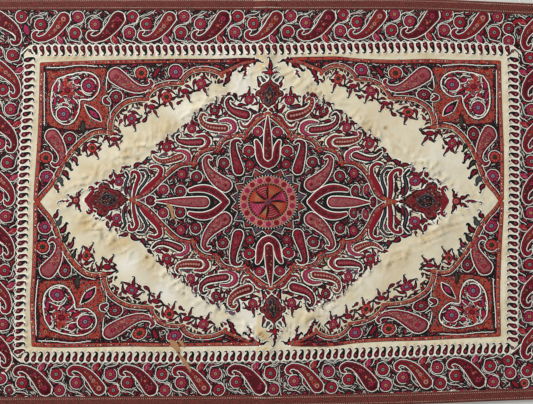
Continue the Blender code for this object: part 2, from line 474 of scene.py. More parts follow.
def thorned(basket, rows, gap=THORN_GAP):
    """A dark outline full of short thorns, a gap outside a figure on the light ground."""
    line = smooth_rows(outline_of(grown(smooth_rows(rows, 1.4), gap)), THORN_PITCH)
    basket.cord("black", line, 0.52, 1, smooth=False, rise=0.0)
    ahead = unit(np.gradient(line, axis=0))
    middle = line.mean(axis=0)
    for n, ((x, y), (dx, dy)) in enumerate(zip(line, ahead)):
        out = 0.7 if (x - middle[0]) * dy - (y - middle[1]) * dx > 0 else -0.7
        thread = "crimson" if n % 4 == 0 else "black"
        basket.fleck(thread, x + dy * out, y - dx * out, np.arctan2(-dx, dy) + 0.5, 2.2, 1.0, 1)


def jewels(basket, spine, distances, radii, threads, hearts):
    """Small flowers set along the inside of a figure, at distances back from its head."""
    step = 0.5
    line = smooth_rows(spine, step)[::-1]
    for n, (distance, radius) in enumerate(zip(distances, radii)):
        x, y, _ = line[min(int(distance / step), len(line) - 1)]
        basket.disc(threads[n % len(threads)], x, y, radius, 5, sides=14)
        basket.disc(hearts[n % len(hearts)], x, y, radius * 0.48, 6, sides=8)


def speckle(basket, rows, threads, amount, level, seed, inset=1.8, length=1.9, width=1.0):
    """Short stitches scattered over the inside of a spine's shape, along its run."""
    chance = np.random.default_rng(seed)
    rows = smooth_rows(rows, 1.2)
    ahead = unit(np.gradient(rows[:, :2], axis=0))
    room = rows[:, 2] - inset
    usable = np.flatnonzero(room > 0.25)
    if not len(usable):
        return
    share = room[usable] / room[usable].sum()
    for _ in range(amount):
        at = chance.choice(usable, p=share)
        side = chance.uniform(-1, 1) * room[at]
        x = rows[at, 0] - ahead[at, 1] * side
        y = rows[at, 1] + ahead[at, 0] * side
        angle = np.arctan2(ahead[at, 1], ahead[at, 0]) + chance.normal(0, 0.5)
        thread = threads[chance.integers(len(threads))]
        basket.fleck(thread, x, y, angle, length * chance.uniform(0.7, 1.2), width, level)


Ring = namedtuple("Ring", "rim petal vein glint heart_rim heart dot")
RINGS = {
    "red": Ring("crimson", "red", "wine", "magenta", "black", "grey", "black"),
    "orange": Ring("red", "orange", "crimson", "pink", "black", "olive", "black"),
    "magenta": Ring("crimson", "magenta", "wine", "rose", "wine", "tan", "wine"),
    "crimson": Ring("wine", "crimson", "wine", "rose", "black", "grey", "black"),
    "cool magenta": Ring("crimson", "magenta", "wine", "rose", "black", "steel", "crimson"),
}


def rosette(basket, x, y, radius, ring, petals=9, seat=1):
    """A round flower: a padded ring of petals round a small heart."""
    threads = RINGS[ring]
    if seat > 1:
        basket.disc("black", x, y, radius + 0.5, seat, sides=20)
    basket.disc(threads.rim, x, y, radius, seat + 1, sides=22, clear=0.7)
    basket.disc(threads.petal, x, y, radius * 0.86, seat + 2, sides=2 * petals, lobes=petals)
    for n in range(petals):
        angle = 2 * pi * (n + 0.5) / petals
        for thread, turn, length, width in (
            (threads.vein, angle, 0.54, 0.8),
            (threads.glint, angle + pi / petals, 0.3, 0.7),
        ):
            basket.fleck(thread, *around(x, y, turn, radius * 0.68), turn, radius * length, width, seat + 3)
    basket.disc(threads.heart_rim, x, y, radius * 0.47, seat + 4, sides=12)
    basket.disc(threads.heart, x, y, radius * 0.34, seat + 5, sides=10)
    basket.disc(threads.dot, x, y, radius * 0.15, seat + 6, sides=6)


def arc(x, y, radius, start, end, count=9, squash=1.0):
    """Points of an arc; the angles are in degrees, clockwise from the right as the paper is read."""
    angles = np.radians(np.linspace(start, end, count))
    return np.column_stack([x + np.cos(angles) * radius, y + np.sin(angles) * radius * squash])


Flower = namedtuple("Flower", "x y radius ring")
Leaf = namedtuple("Leaf", "x0 y0 x1 y1 width bend thread core", defaults=("black", "crimson"))

# ---------------------------------------------------------------- the border

# Where the foot of the small figures' row runs on the cloth, in squares of the paper.
FOOT_TOP = (
    (-30, 45), (60, 45.2), (150, 44.8), (270, 44.2), (350, 42.8), (430, 41.5), (500, 44.8), (566, 47.5),
)
FOOT_BOTTOM = (
    (-30, 362.5), (60, 362.2), (180, 362.2), (270, 361), (350, 358.8), (430, 355.6), (500, 353.6),
    (566, 351.5),
)
FOOT_LEFT = (
    (24.6, -5), (24.6, 60), (23.5, 100), (20, 150), (18, 200), (17.3, 260), (15, 300), (14.6, 412),
)
FOOT_RIGHT = ((517, -5), (518, 60), (519.5, 120), (519, 200), (517.6, 260), (517.4, 320), (517, 412))
BAND = 34.5  # squares from the tape to the foot line


def feet(x, y):
    """Where the foot lines run past a place: the top and bottom one, then the left and right one."""
    lying = [np.interp(x, *np.array(line).T) for line in (FOOT_TOP, FOOT_BOTTOM)]
    standing = [np.interp(y, *np.array(line).T[::-1]) for line in (FOOT_LEFT, FOOT_RIGHT)]
    return *lying, *standing


class Side:
    """One side of the border: turns a place along it and in from the tape into a place on the paper."""

    def __init__(self, name):
        self.name = name

    def place(self, s, t):
        s, t = np.asarray(s, float), np.asarray(t, float)
        top, bottom, left, right = feet(s, -s)
        places = {
            "top": (s, top - BAND + t),
            "bottom": (s, bottom + BAND - t),
            "left": (left - BAND + t, -s),
            "right": (right + BAND - t, -s),
        }
        return places[self.name]

    def rows(self, rows):
        """The same for the rows of a line or a spine."""
        rows = np.array(rows, float)
        rows[:, 0], rows[:, 1] = self.place(rows[:, 0], rows[:, 1])
        return rows


# A border figure's spine from the curled tip to the head, as (along from the head, in from the tape,
# half-width).
BORDER_SPINE = (
    (-27, 21.4, 0.5), (-29.6, 22.6, 1.2), (-30.2, 26, 1.7), (-26.6, 28.6, 2.1), (-20.3, 27.9, 2.7),
    (-13.2, 23.6, 4.2), (-7.6, 17.6, 5.3), (-3.2, 11.8, 6), (-0.6, 8.2, 6.2),
)
JEWELLED_SHARE = 0.9


# Where each side's large figures have their heads, jewelled and plain in turn from the kind that is named.
BORDER_FIGURES = (
    ("top", "jewelled", (64.6, 119, 170.5, 224.3, 277.2, 329.7, 380.7, 433.4, 483.5)),
    ("bottom", "plain", (45.9, 100, 151.3, 205, 260, 317.8, 372.2, 426.6, 479.3)),
    ("left", "jewelled", (-66, -120, -173.5, -227, -281, -335)),
    ("right", "jewelled", (-18, -68.5, -120.5, -172, -223.5, -275, -327)),
)


def border_figure(basket, side, at, jewelled, seed, squeeze=1.0):
    """One of the border's large figures, squeezed along the side if asked."""
    rows = np.array(BORDER_SPINE)
    rows[:, 0] = rows[:, 0] * squeeze + at
    if jewelled:
        rows[3:, 2] *= JEWELLED_SHARE
    spine = side.rows(rows)
    if jewelled:
        paisley(basket, spine, JEWELLED)
        threads = ("olive", "tan", "olive", "crimson")
        speckle(basket, spine, threads, 60, 5, seed, inset=2.5, length=1.6, width=0.9)
        distances, radii = (0.5, 5.6, 10.4, 14.8, 18.8, 22.4), (2.5, 2.2, 2.0, 1.6, 1.3, 1.0)
        jewels(basket, spine, distances, radii, ("pink", "orange", "pink"), ("crimson", "wine"))
    else:
        paisley(basket, spine, PLAIN)
        threads = ("crimson", "tan", "red", "olive", "crimson", "black")
        speckle(basket, spine, threads, 80, 5, seed, inset=1.7)
        jewels(basket, spine, (1.0, 9.5, 17.5), (2.4, 2.0, 1.6), ("magenta", "crimson"), ("wine", "tan"))


def inside_tapes(x, y, margin):
    """Whether a place of the border lies clear of the tapes."""
    top, bottom, left, right = feet(x, y)
    reach = BAND - margin
    return top - reach < y < bottom + reach and left - reach < x < right + reach


# The light lines round a border figure, as (along from its head, in from the tape).
BORDER_STEMS = (
    ((4.6, 24.6), (5.6, 28.8), (10.6, 30.6), (15.8, 31.6), (19, 34.2)),
    ((-1.6, 26.4), (1, 29.6), (2, 32), (4.6, 34.2)),
    ((-7.4, 25.6), (-8, 29.6), (-6.6, 32), (-4, 34.2)),
    ((2.6, 22.4), (5, 17.4), (10, 14.6), (15, 14.2), (20, 11)),
    ((-33.6, 13.5), (-33, 8.4), (-28.6, 5.4), (-22, 4.6), (-17, 1.6)),
    ((-19, 20.6), (-15.6, 17), (-15.4, 12.4), (-12.6, 8.4), (-8, 4)),
    ((6.4, 1.4), (5.6, 6.4), (7, 10.6)),
)


def border_flowers(basket, side, at, red_first):
    """The flowers that go with a border figure: one in its curl and two past its head."""
    first, second = ("red", "magenta") if red_first else ("magenta", "red")
    places = (
        (-23.6, 14.0, 5.3, first, 60, 300),
        (13.6, 6.8, 5.2, second, 200, 460),
        (10.6, 22.6, 5.3, first, 150, 420),
    )
    for s, t, radius, ring, start, end in places:
        x, y = side.place(at + s, t)
        if not inside_tapes(x, y, 2.0):
            continue
        rosette(basket, float(x), float(y), radius, ring)
        circle = arc(at + s, t, radius + 1.1, start, end, count=12)
        basket.cord("cream", side.rows(circle), 0.44, 1, clear=0.2)
    bud = side.rows([(at - 5.6, 27.0, 1.6), (at - 4.0, 29.6, 2.7), (at - 2.6, 32.4, 1.6)])
    basket.body("black", bud, 1, grow=0.5, clear=0.7)
    basket.body(second, bud, 2, dome=0.2 * MM)
    speckle(basket, bud, ("rose", "pink", "crimson"), 9, 4, 17, inset=0.7, length=2.2, width=0.8)
    small = side.rows([(at - 0.6, 21.0, 0.7), (at - 1.6, 23.4, 1.5), (at - 3.0, 25.4, 0.7)])
    basket.body("black", small, 1, grow=0.5, clear=0.4)
    basket.body("crimson", small, 2)
    for stem in BORDER_STEMS:
        basket.cord("cream", side.rows(np.array(stem) + (at, 0)), 0.44, 1, clear=0.2)


# What fills the border's corners, where no figure of the rows fits: flowers and buds.
BORDER_CORNER_FLOWERS = (
    Flower(21.8, 16.8, 5.2, "red"), Flower(508.6, 28.6, 4.9, "crimson"), Flower(508.4, 41, 4.9, "magenta"),
    Flower(507.8, 360.4, 5, "red"), Flower(509.8, 372.6, 5, "magenta"), Flower(527, 370.6, 5.2, "red"),
    Flower(537.6, 378, 5, "magenta"), Flower(541, 362.6, 5.2, "cool magenta"),
    Flower(524, 383, 3.8, "orange"), Flower(1, 378.4, 5.2, "magenta"), Flower(-11.4, 384.6, 5, "red"),
    Flower(-9.6, 369.4, 4.8, "cool magenta"), Flower(9.6, 389.8, 4, "crimson"),
)
BORDER_CORNER_BUDS = (
    ("magenta", ((25.6, 26.4, 1.4), (26.8, 30, 3), (28, 33.6, 1.6))),
    ("red", ((14, 26, 1), (15.4, 28.6, 2), (16.4, 31.4, 1))),
    ("crimson", ((517.6, 386.2, 1), (515, 384, 1.9), (512.8, 381.8, 1))),
    ("red", ((518, 20.4, 1), (515.4, 22, 2), (513, 24.4, 1))),
)
LEFT_TOP_FIGURE = -17.6  # the left row's first figure, squeezed between the corner and its neighbour
LEFT_TOP_SQUEEZE = 0.84


def border_corners(basket):
    """The figure, the flowers and the buds of the border's corners."""
    border_figure(basket, Side("left"), LEFT_TOP_FIGURE, False, 90, LEFT_TOP_SQUEEZE)
    for n, flower in enumerate(BORDER_CORNER_FLOWERS):
        rosette(basket, *flower)
        outlined(basket, flower, 1.1, 70 * n, 70 * n + 270, 0.5, 12)
    for thread, rows in BORDER_CORNER_BUDS:
        basket.body("black", rows, 1, grow=0.5, clear=0.6)
        basket.body(thread, rows, 2, dome=0.2 * MM)


TOOTH = (
    (-0.7, 1, 1.9), (-0.6, 2.8, 2.6), (0.1, 5.2, 2.2), (1.1, 7.4, 1.5), (1.3, 9.2, 1.1), (0.3, 10.5, 0.85),
    (-1.3, 10.2, 0.5),
)
TOOTH_PITCH = 6.85


TOOTH_ROWS = (("top", 35.5, 507.5), ("bottom", 27.3, 507), ("left", -59.5, -351), ("right", -59.5, -339))


def border_teeth(basket, side, start, end):
    """The row of small hooked figures that stands on the foot line, dark and crimson in turn."""
    count = int(round(abs(end - start) / TOOTH_PITCH))
    for n in range(count + 1):
        at = start + (end - start) * n / count
        spine = side.rows(np.array(TOOTH) + (at, BAND, 0))
        dark = n % 2 == 0
        basket.body("cream", spine, 1, grow=0.7, step=1.6)
        basket.body("black" if dark else "wine", spine, 2, grow=0.1, step=1.5)
        x, y = (float(value) for value in side.place(at - 0.6, BAND + 3.4))
        basket.disc("crimson", x, y, 1.5, 3, sides=8)
        basket.disc("rose" if dark else "grey", x, y, 0.7, 4, sides=6)
    steps = np.linspace(start - 3, end + 3, 3 * count + 4)
    wave = BAND + 0.5 - 0.9 * np.cos((steps - start) / TOOTH_PITCH * 2 * pi)
    basket.cord("cream", side.rows(np.column_stack([steps, wave])), 0.55, 2, step=1.2, clear=0.3)


# Where the foot lines of the rows of small figures meet, and which way the cloth lies from there.
INNER_CORNERS = ((24.2, 44.6, 1, 1), (518.3, 44.9, -1, 1), (14.3, 362.7, 1, -1), (517.9, 353.7, -1, -1))


def corner_tooth(basket, x, y, right, down):
    """The cord that cuts across an inner corner, its ground and the small figure on its middle."""

    def place(across, along):
        return x + across * right, y + along * down

    corners = (place(-0.5, -0.5), place(6.6, -0.5), place(6.6, 0.9), place(-0.5, 7.6))
    basket.ground("black", np.array(corners))
    basket.leaf("crimson", *place(0.6, 4.6), *place(4.4, 0.8), 1.7, 0.1, 1)
    basket.cord("cream", (place(-3.7, 10.4), place(1.4, 5.4), place(6.5, 0.9)), 0.6, 2)
    basket.cord("black", (place(-1.9, 10.6), place(1.4, 6.9), place(4.6, 4.0)), 0.7, 2)
    basket.disc("cream", *place(5.9, 6.2), 2.5, 1, sides=10)
    basket.disc("black", *place(5.9, 6.2), 2.0, 2, sides=9)
    basket.disc("rose", *place(5.8, 6.4), 1.1, 3, sides=7)
    basket.leaf("black", *place(6.4, 5.4), *place(9.9, 10.2), 1.7, -0.1 * right * down, 2)


# ---------------------------------------------------------------- the corner fields, drawn for the top left

FRAME_LINE = ((252.4, 60.6), (246, 60.3), (220, 61), (180, 61), (140, 61.6), (100, 62.4), (42, 64.5))
FRAME_SIDE = ((42.1, 64.6), (41.2, 100), (40.2, 130), (39.4, 150), (38.6, 175), (38.2, 199.5))
SCALLOP = (
    ((251, 61.6), (241, 64.2), (231, 69.2), (223, 73.2)),
    (
        (222.4, 76.6), (221, 74.6), (216.5, 72.2), (208, 69.8), (198, 70), (189.5, 73.2), (184.5, 78),
        (181.5, 84),
    ),
    ((183, 83.6), (174, 83.6), (164, 84.8), (155.5, 88.2), (150, 92.6), (146.6, 99)),
    ((148, 99.2), (138, 99.6), (127, 102.2), (119.5, 107.4), (113.5, 115), (111, 124), (111, 134)),
    (
        (112.4, 133.2), (103, 131.8), (93, 133.6), (84, 139.2), (75.5, 147.4), (67.5, 156.6), (62, 165.4),
        (57.5, 175.5), (51.5, 186), (45, 194), (40.2, 200.8),
    ),
)
CARTOUCHE = (
    (46.5, 70.5), (58, 71), (70, 68.8), (84, 67.2), (97, 68.8), (107, 68.8), (105, 78), (105.8, 88),
    (108, 96.5), (104.6, 100.6), (108.8, 107.4), (109.6, 118), (107.6, 128.6), (97, 127.4), (86, 128.8),
    (82.4, 121), (78.6, 129.2), (66, 129.4), (55, 127.8), (47, 123), (46.4, 104), (47.6, 86),
)
HEART = (
    (58, 79), (65, 76.2), (75, 73.6), (84, 72.4), (92, 74), (98.2, 79.2), (99.8, 86.4), (98, 92.4),
    (91.4, 99.4), (80.2, 100.2), (79.4, 108.2), (76.8, 116), (72, 122.2), (66, 124.6), (58.6, 121.8),
    (53, 114.6), (51.2, 104.8), (51.6, 95), (53.2, 86.4),
)
CORNER_TOP_FIGURE = (
    (150.6, 80.6, 0.7), (152.2, 83.2, 1.3), (150, 86.8, 1.7), (144.6, 88.8, 2.3), (137.6, 88.6, 3.6),
    (129.8, 85.4, 5.2), (122, 80.2, 6.6), (115.8, 75.6, 7.1),
)
CORNER_SIDE_FIGURE = (
    (52.4, 163.6, 0.7), (54.6, 165.6, 1.2), (58.6, 164.6, 1.7), (61.4, 160.6, 2.3), (62, 155.4, 3.2),
    (60, 148.6, 4.6), (56.2, 142, 5.9), (52.2, 136.2, 6.4),
)
CORNER_FLOWERS = (
    Flower(141.6, 73.2, 5.6, "orange"), Flower(176, 72, 6.4, "cool magenta"),
    Flower(116.5, 97, 5.6, "crimson"), Flower(69.5, 139, 5.7, "crimson"), Flower(46.3, 158, 5.3, "orange"),
    Flower(47.5, 177, 5.6, "cool magenta"),
)
HEART_FLOWERS = (Flower(89, 86, 6.2, "cool magenta"), Flower(63.6, 114.2, 6.2, "cool magenta"))
CORNER_LEAVES = (
    Leaf(154, 79, 163.5, 66.5, 5.4, 0.12), Leaf(213, 66.2, 221.6, 68.8, 3.8, 0.1, core="red"),
    Leaf(202, 66.6, 211, 66, 3, 0.1), Leaf(226, 64, 236, 63.4, 2.8, 0.05),
    Leaf(190, 66.6, 199, 66, 2.6, -0.1, "slate"), Leaf(128, 95.6, 140, 95.8, 3.2, 0.1),
    Leaf(104, 97, 112, 103, 4.4, 0.1), Leaf(42, 186, 46, 193, 3.4, 0.1, core="magenta"),
    Leaf(79, 128, 84.6, 118.4, 5.4, 0, core="olive"),
)


ROSE_THREADS = ("crimson", "wine", "red_grey", "pink", "crimson", "tan", "wine", "slate")
CARTOUCHE_THREADS = ("wine", "black", "red_grey", "wine", "black", "rose", "black", "slate", "red_grey")
STRIPE_THREADS = ("slate", "wine", "pink", "rose", "black", "grey", "crimson", "cream")


def eye(basket, x, y, size, level):
    """A small eye, a dark dot in a light ring."""
    basket.disc(("tan", "grey", "slate")[int(x + y) % 3], x, y, size, level, sides=8)
    basket.disc("black", x, y, size * 0.62, level + 1, sides=6)


def dotted_band(basket, points, half, seed):
    """An orange-red stripe with dark rims, full of small dots."""
    chance = np.random.default_rng(seed)
    rows = np.column_stack([points, np.full(len(points), half)])
    basket.body("wine", rows, 2, step=2.2, clear=0.5)
    basket.body("orange", rows, 3, grow=-0.5, step=2.2)
    for n, (x, y) in enumerate(smooth_rows(points, 2.5)[1:-1]):
        if n % 2 == 0:
            eye(basket, x + chance.normal(0, 0.2), y + chance.normal(0, 0.25), 1.2, 4)
            continue
        for _ in range(3):
            thread = STRIPE_THREADS[chance.integers(len(STRIPE_THREADS))]
            spread = chance.normal(0, 0.8, 2)
            basket.fleck(thread, x + spread[0], y + spread[1], chance.uniform(0, pi), 1.6, 1.0, 4)


def beside(points, distance, inwards):
    """A line beside another one, on the side of the medallion's middle or on the other side."""
    line = smooth_rows(points, 2.0)
    side = normals_of(line) * distance
    near, far = sorted((line + side, line - side), key=lambda rows: np.hypot(*(rows - MEDALLION).T).mean())
    return near if inwards else far


def joined(lines, step=3.0):
    """The points of several smooth lines, one after the other."""
    return np.concatenate([smooth_rows(line, step) for line in lines])


def closed_line(outline, step):
    """The points of a smooth closed outline."""
    return smooth_rows(outline + outline[:1], step)[:-1]


def outlined(basket, flower, gap, start, end, half=0.44, count=9, clear=0.2):
    """The light arc that is couched round a flower."""
    ring = arc(flower.x, flower.y, flower.radius + gap, start, end, count)
    basket.cord("cream", ring, half, 1, clear=clear)


def heart_outline():
    return closed_line(HEART, 2.0)


def cartouche_outline():
    return closed_line(CARTOUCHE, 2.5)


STAR = (67.6, 90.4)
Petal = namedtuple("Petal", "turn length width thread core")
STAR_PETALS = (
    Petal(-98, 13, 5.4, "orange", "red"), Petal(-60, 9.6, 4.4, "orange", "rose"),
    Petal(-14, 9.4, 4, "rose", "crimson"), Petal(34, 9.2, 4.4, "orange", "red"),
    Petal(84, 10, 4.2, "rose", "crimson"), Petal(146, 9, 4.4, "orange", "red"),
    Petal(206, 9.6, 4.4, "rose", "crimson"),
)
HEART_LEAVES = (
    Leaf(74, 84.6, 80.6, 80.6, 4.2, 0.1, "crimson", "magenta"),
    Leaf(56.6, 93.4, 57, 81.6, 4.2, 0.1, "crimson", "magenta"),
    Leaf(63.6, 97, 58.4, 103.6, 4, 0.1, "crimson", "red"),
    Leaf(70, 100, 75.6, 105, 4, 0.1, "crimson", "magenta"), Leaf(76.6, 91.4, 84.4, 95.6, 3.8, 0.1, "red"),
    Leaf(74.6, 97.4, 79.4, 98.8, 2.4, 0.1, "magenta", None),
    Leaf(84.6, 76.4, 93, 77.2, 2.8, -0.2, "crimson", "magenta"),
    Leaf(54, 96.6, 54.4, 106.4, 2.6, 0.1, "magenta", None),
    Leaf(74.4, 109.4, 75.6, 116.4, 2.6, 0.1, "red", None),
)
HEART_STEMS = (
    ((70, 79), (74, 77.6), (78, 76.8), (81, 79.4)), ((73, 80), (74.4, 84), (78, 85.4), (81.4, 85.6)),
    ((56.6, 95), (59.4, 95.6), (62, 98.4)), ((64, 97.6), (65, 100), (66.4, 103)),
    ((56, 105), (59.4, 104.6), (64, 102.6), (68, 104), (71.4, 108)),
    ((79.4, 90), (82, 91.4), (86, 94.6), (90.4, 95.6)), ((59.6, 79.6), (60, 84), (59.4, 88), (58.4, 91.6)),
    ((72.4, 97.6), (76.6, 101.4), (78, 104)),
)


def heart_panel(basket):
    """The heart-shaped panel of a corner: a star flower, two round flowers and leaves on a dark ground."""
    basket.field("black", heart_outline(), 3, spacing=2.4)
    basket.cord("black", heart_outline(), 1.9, 2, closed=True, step=1.6)
    basket.cord("cream", heart_outline(), 0.55, 4, closed=True, step=1.6)
    for petal in STAR_PETALS:
        ahead = np.array([cos(radians(petal.turn)), sin(radians(petal.turn))])
        foot, tip = np.array(STAR) + ahead, np.array(STAR) + ahead * petal.length
        basket.leaf("cream", *foot, *(tip + ahead * 1.1), petal.width + 2.0, 0.06, 4, clear=0)
        basket.leaf("black", *foot, *(tip + ahead * 0.4), petal.width + 0.9, 0.06, 5, clear=0)
        basket.leaf(petal.thread, *foot, *tip, petal.width - 0.4, 0.06, 6, petal.core, clear=0)
    basket.disc("black", *STAR, 3.2, 7, sides=14, clear=0.5)
    basket.disc("crimson", *STAR, 2.3, 8, sides=12)
    for leaf in HEART_LEAVES:
        basket.leaf("black", *leaf[:4], leaf.width + 1.0, leaf.bend, 4, clear=0.1)
        basket.leaf(leaf.thread, *leaf[:4], leaf.width, leaf.bend, 5, leaf.core, clear=0)
    for line in HEART_STEMS:
        basket.cord("cream", line, 0.48, 4, clear=0.1)
    for flower in HEART_FLOWERS:
        basket.cord("cream", arc(flower.x, flower.y, flower.radius + 1.3, 60, 350, 14), 0.48, 4, clear=0.3)
        rosette(basket, *flower, seat=4)
    almond = (
        (85.6, 105.6, 0.5), (89.5, 109.4, 2.9), (93.8, 113.8, 3.9), (98, 117.6, 2.8), (101, 121, 0.5),
    )
    basket.coats(almond, ("cream", 3, 0.8), ("black", 4, 0.1))
    basket.body("magenta", ((90.6, 111, 0.9), (94.4, 114.4, 2.5), (97.6, 117.2, 0.9)), 5)
    basket.disc("wine", 94, 114, 0.9, 6, sides=8)


def corner_outline():
    return joined((FRAME_LINE, FRAME_SIDE) + tuple(line[::-1] for line in SCALLOP[::-1]))


CORNER_LINES = (
    ((44.6, 72), (44.2, 90), (44.4, 110), (44.6, 126)), ((46, 67.8), (60, 67.6), (80, 65.4), (98, 66.6)),
    ((108.6, 72), (106.8, 80), (108, 92), (112.4, 88.6)), ((109, 128), (110.4, 118), (109.6, 106)),
)
NOTCH_BUD = ((107.6, 97, 0.8), (105, 98.6, 1.4), (105.6, 101.4, 2.3), (109, 103.4, 1.6))
NOTCH_LEAF = ((83, 120.6, 0.5), (83.4, 124, 1.8), (82.8, 127.6, 2.8), (83.6, 131, 1.8))


def corner_field(basket):
    """A corner field: its stripes, its cartouche with the heart panel, and its figures and flowers."""
    basket.ground("black", corner_outline())
    for n, line in enumerate((FRAME_LINE, FRAME_SIDE) + SCALLOP):
        dotted_band(basket, line, 2.1 if n < 2 else 1.95, n)
        if n > 2:
            basket.cord("cream", beside(line, 3.1, False)[2:-2], 0.42, 1, clear=0.2)
    inner = cartouche_outline()
    basket.field("orange", inner, 1, spacing=2.0)
    basket.keep_clear(*inner.T, 1.0)
    chance = np.random.default_rng(5)
    heart = heart_outline()
    for n, (x, y) in enumerate(scattered(inner, 2.0, chance)):
        if inside_outline(heart, np.array([x]), np.array([y]))[0]:
            continue
        if n % 8 == 0:
            eye(basket, x, y, 1.4, 2)
            continue
        thread = CARTOUCHE_THREADS[chance.integers(len(CARTOUCHE_THREADS))]
        basket.fleck(thread, x, y, chance.uniform(0, pi), 2.6, 1.7, 2)
    basket.cord("wine", inner, 0.5, 2, closed=True, step=2)
    heart_panel(basket)
    basket.coats(NOTCH_BUD, ("black", 2, 1.9), ("cream", 3, 1.0), ("black", 4, 0.3), ("crimson", 5, -0.9))
    basket.coats(NOTCH_LEAF, ("black", 2, 0.4), ("olive", 3, -0.8))
    for spine in (CORNER_TOP_FIGURE, CORNER_SIDE_FIGURE):
        paisley(basket, spine, ROSE)
        speckle(basket, spine, ROSE_THREADS, 190, 5, 11, inset=1.6, length=2.2, width=1.2)
        threads = ("crimson", "crimson", "orange")
        jewels(basket, spine, (1.5, 9.5, 17.0), (2.6, 2.0, 1.5), threads, ("magenta", "rose"))
    for flower in CORNER_FLOWERS:
        rosette(basket, *flower)
        outlined(basket, flower, 1.2, 140, 400)
    for leaf in CORNER_LEAVES:
        basket.leaf(leaf.thread, *leaf[:4], leaf.width, leaf.bend, 1, leaf.core)
    for line in CORNER_LINES:
        basket.cord("cream", line, 0.55, 1, clear=0.5)


# ---------------------------------------------------------------- the sprays along the corner fields

Spray = namedtuple("Spray", "x y radius ring outward")
SPRAYS = (
    Spray(201.6, 84, 5, "magenta", 63), Spray(185.6, 91.6, 3.6, None, 66),
    Spray(167, 97.2, 5.3, "orange", 62), Spray(151.8, 107, 3.6, None, 60),
    Spray(132, 118.6, 4.7, "cool magenta", 60), Spray(114.2, 139.6, 3.4, None, 50),
    Spray(92, 148.4, 4.5, "orange", 48),
)
SWAPPED_RINGS = {"magenta": "orange", "orange": "magenta", "cool magenta": "orange"}
SPRAY_LEAVES = (
    Leaf(176.6, 104, 182, 99, 3.4, -0.2), Leaf(142, 122, 146, 113.6, 3.6, -0.3),
    Leaf(106.6, 135, 101, 141.6, 3.2, 0.2), Leaf(76, 148.4, 78.6, 156.6, 4.4, 0.16, core="olive"),
    Leaf(71.6, 157.4, 74.6, 167.4, 4.4, 0.3, core="magenta"),
    Leaf(64.8, 163.4, 69.6, 172.6, 4.8, 0.24, core="olive"), Leaf(62.2, 171.8, 66.4, 181.6, 5.2, 0.24),
    Leaf(57.6, 178.6, 60.4, 187.6, 4.8, 0.3, "olive", "slate"), Leaf(54.4, 185.4, 57, 194.4, 4, 0.3),
    Leaf(228, 78.4, 238, 70.6, 4.8, 0.3), Leaf(228.6, 76.6, 222, 85.4, 4.6, 0.2),
    Leaf(249.8, 63.6, 239.6, 74, 5.2, -0.06), Leaf(245, 70.6, 240.6, 78, 3.2, 0.3),
    Leaf(251.4, 61.8, 257.6, 62, 5.2, 0.2, core="magenta"), Leaf(255, 60, 261, 64.6, 2.2, 0.1, core=None),
    Leaf(253.6, 62.4, 252, 67, 2.4, 0.1, core=None),
)


def off(x, y, degrees, reach):
    return around(x, y, radians(degrees), reach)


def spray(basket, flower, hugged, heart="crimson"):
    """A flower or bud with a leaf on each side, two side curls and a hook that points outward."""
    x, y, radius, ring, outward = flower
    for hand in (1, -1):
        foot = off(x, y, hugged + 16 * hand, radius + 2.2)
        tip = off(x, y, hugged + 118 * hand, radius + 3.6)
        basket.sprig(*foot, *tip, 3.8, hand, bend=0.2)
        foot = off(x, y, outward + 26 * hand, radius + 0.6)
        tip = off(x, y, outward + 66 * hand, radius + 7.0)
        basket.sprig(*foot, *tip, 3.6, -hand, "crimson" if hand > 0 else "wine", bend=0.1, halo=0.25)
    hand = 1 if int(x) % 2 else -1
    foot, tip = off(x, y, outward, radius - 0.5), off(x, y, outward + 6, radius + 9.0)
    basket.sprig(*foot, *tip, 3.7, hand, heart, level=2, halo=0.3)
    if ring is None:
        basket.disc("cream", x, y, radius + 1.5, 1, sides=14, squash=0.7, clear=0.1)
        basket.disc("black", x, y, radius + 0.9, 3, sides=14, squash=0.7)
        basket.disc("crimson", x, y, radius, 4, sides=12, squash=0.66)
        return
    basket.disc("cream", x, y, radius + 0.9, 1, sides=24, clear=0.1)
    rosette(basket, x, y, radius, ring, petals=8, seat=2)


EDGE_LEAF_PITCH = 2.6  # squares
LEAF_SPREAD = 1.3  # how much wider a curled leaf is sewn than drawn


def edge_leaves(basket, lines, distance, inwards, seed):
    """Short dark leaves that stand along a stripe, wherever there is room for one."""
    chance = np.random.default_rng(seed)
    for points in lines:
        line = beside(points, distance, inwards)
        basket.cord("black", line[1:-1], 0.6, 1, rise=0.0)
        line = smooth_rows(line, EDGE_LEAF_PITCH)
        ahead = unit(np.gradient(line, axis=0))
        outward = unit(line - MEDALLION) * (-1 if inwards else 1)
        for (x, y), run, out in zip(line, ahead, outward):
            normal = np.array([-run[1], run[0]])
            normal = normal if normal @ out > 0 else -normal
            lean = normal + run * chance.choice((-0.9, 0.9)) * chance.uniform(0.5, 1)
            tip = np.array([x, y]) + unit(lean) * chance.uniform(4.0, 6.5)
            if not COVERAGE.free(*np.linspace((x, y), tip, 6)[1:].T):
                continue
            core = ("crimson", "wine", "crimson", None)[chance.integers(4)]
            basket.leaf("black", x, y, *tip, 2.7, chance.uniform(-0.2, 0.2), 1, core, clear=0.3, steps=6)
            COVERAGE.stamp(*((np.array([x, y]) + tip) / 2), 1.3)


def curled_leaf(basket, leaf):
    hand = 1 if leaf.bend >= 0 else -1
    width = leaf.width * LEAF_SPREAD
    basket.sprig(*leaf[:4], width, hand, leaf.core, leaf.thread, 1, abs(leaf.bend) * 0.8)


def edge_sprays(basket, swapped):
    for flower in SPRAYS:
        ring = SWAPPED_RINGS.get(flower.ring) if swapped else flower.ring
        spray(basket, flower._replace(ring=ring), flower.outward + 180)
    for leaf in SPRAY_LEAVES:
        curled_leaf(basket, leaf)


# ---------------------------------------------------------------- the medallion

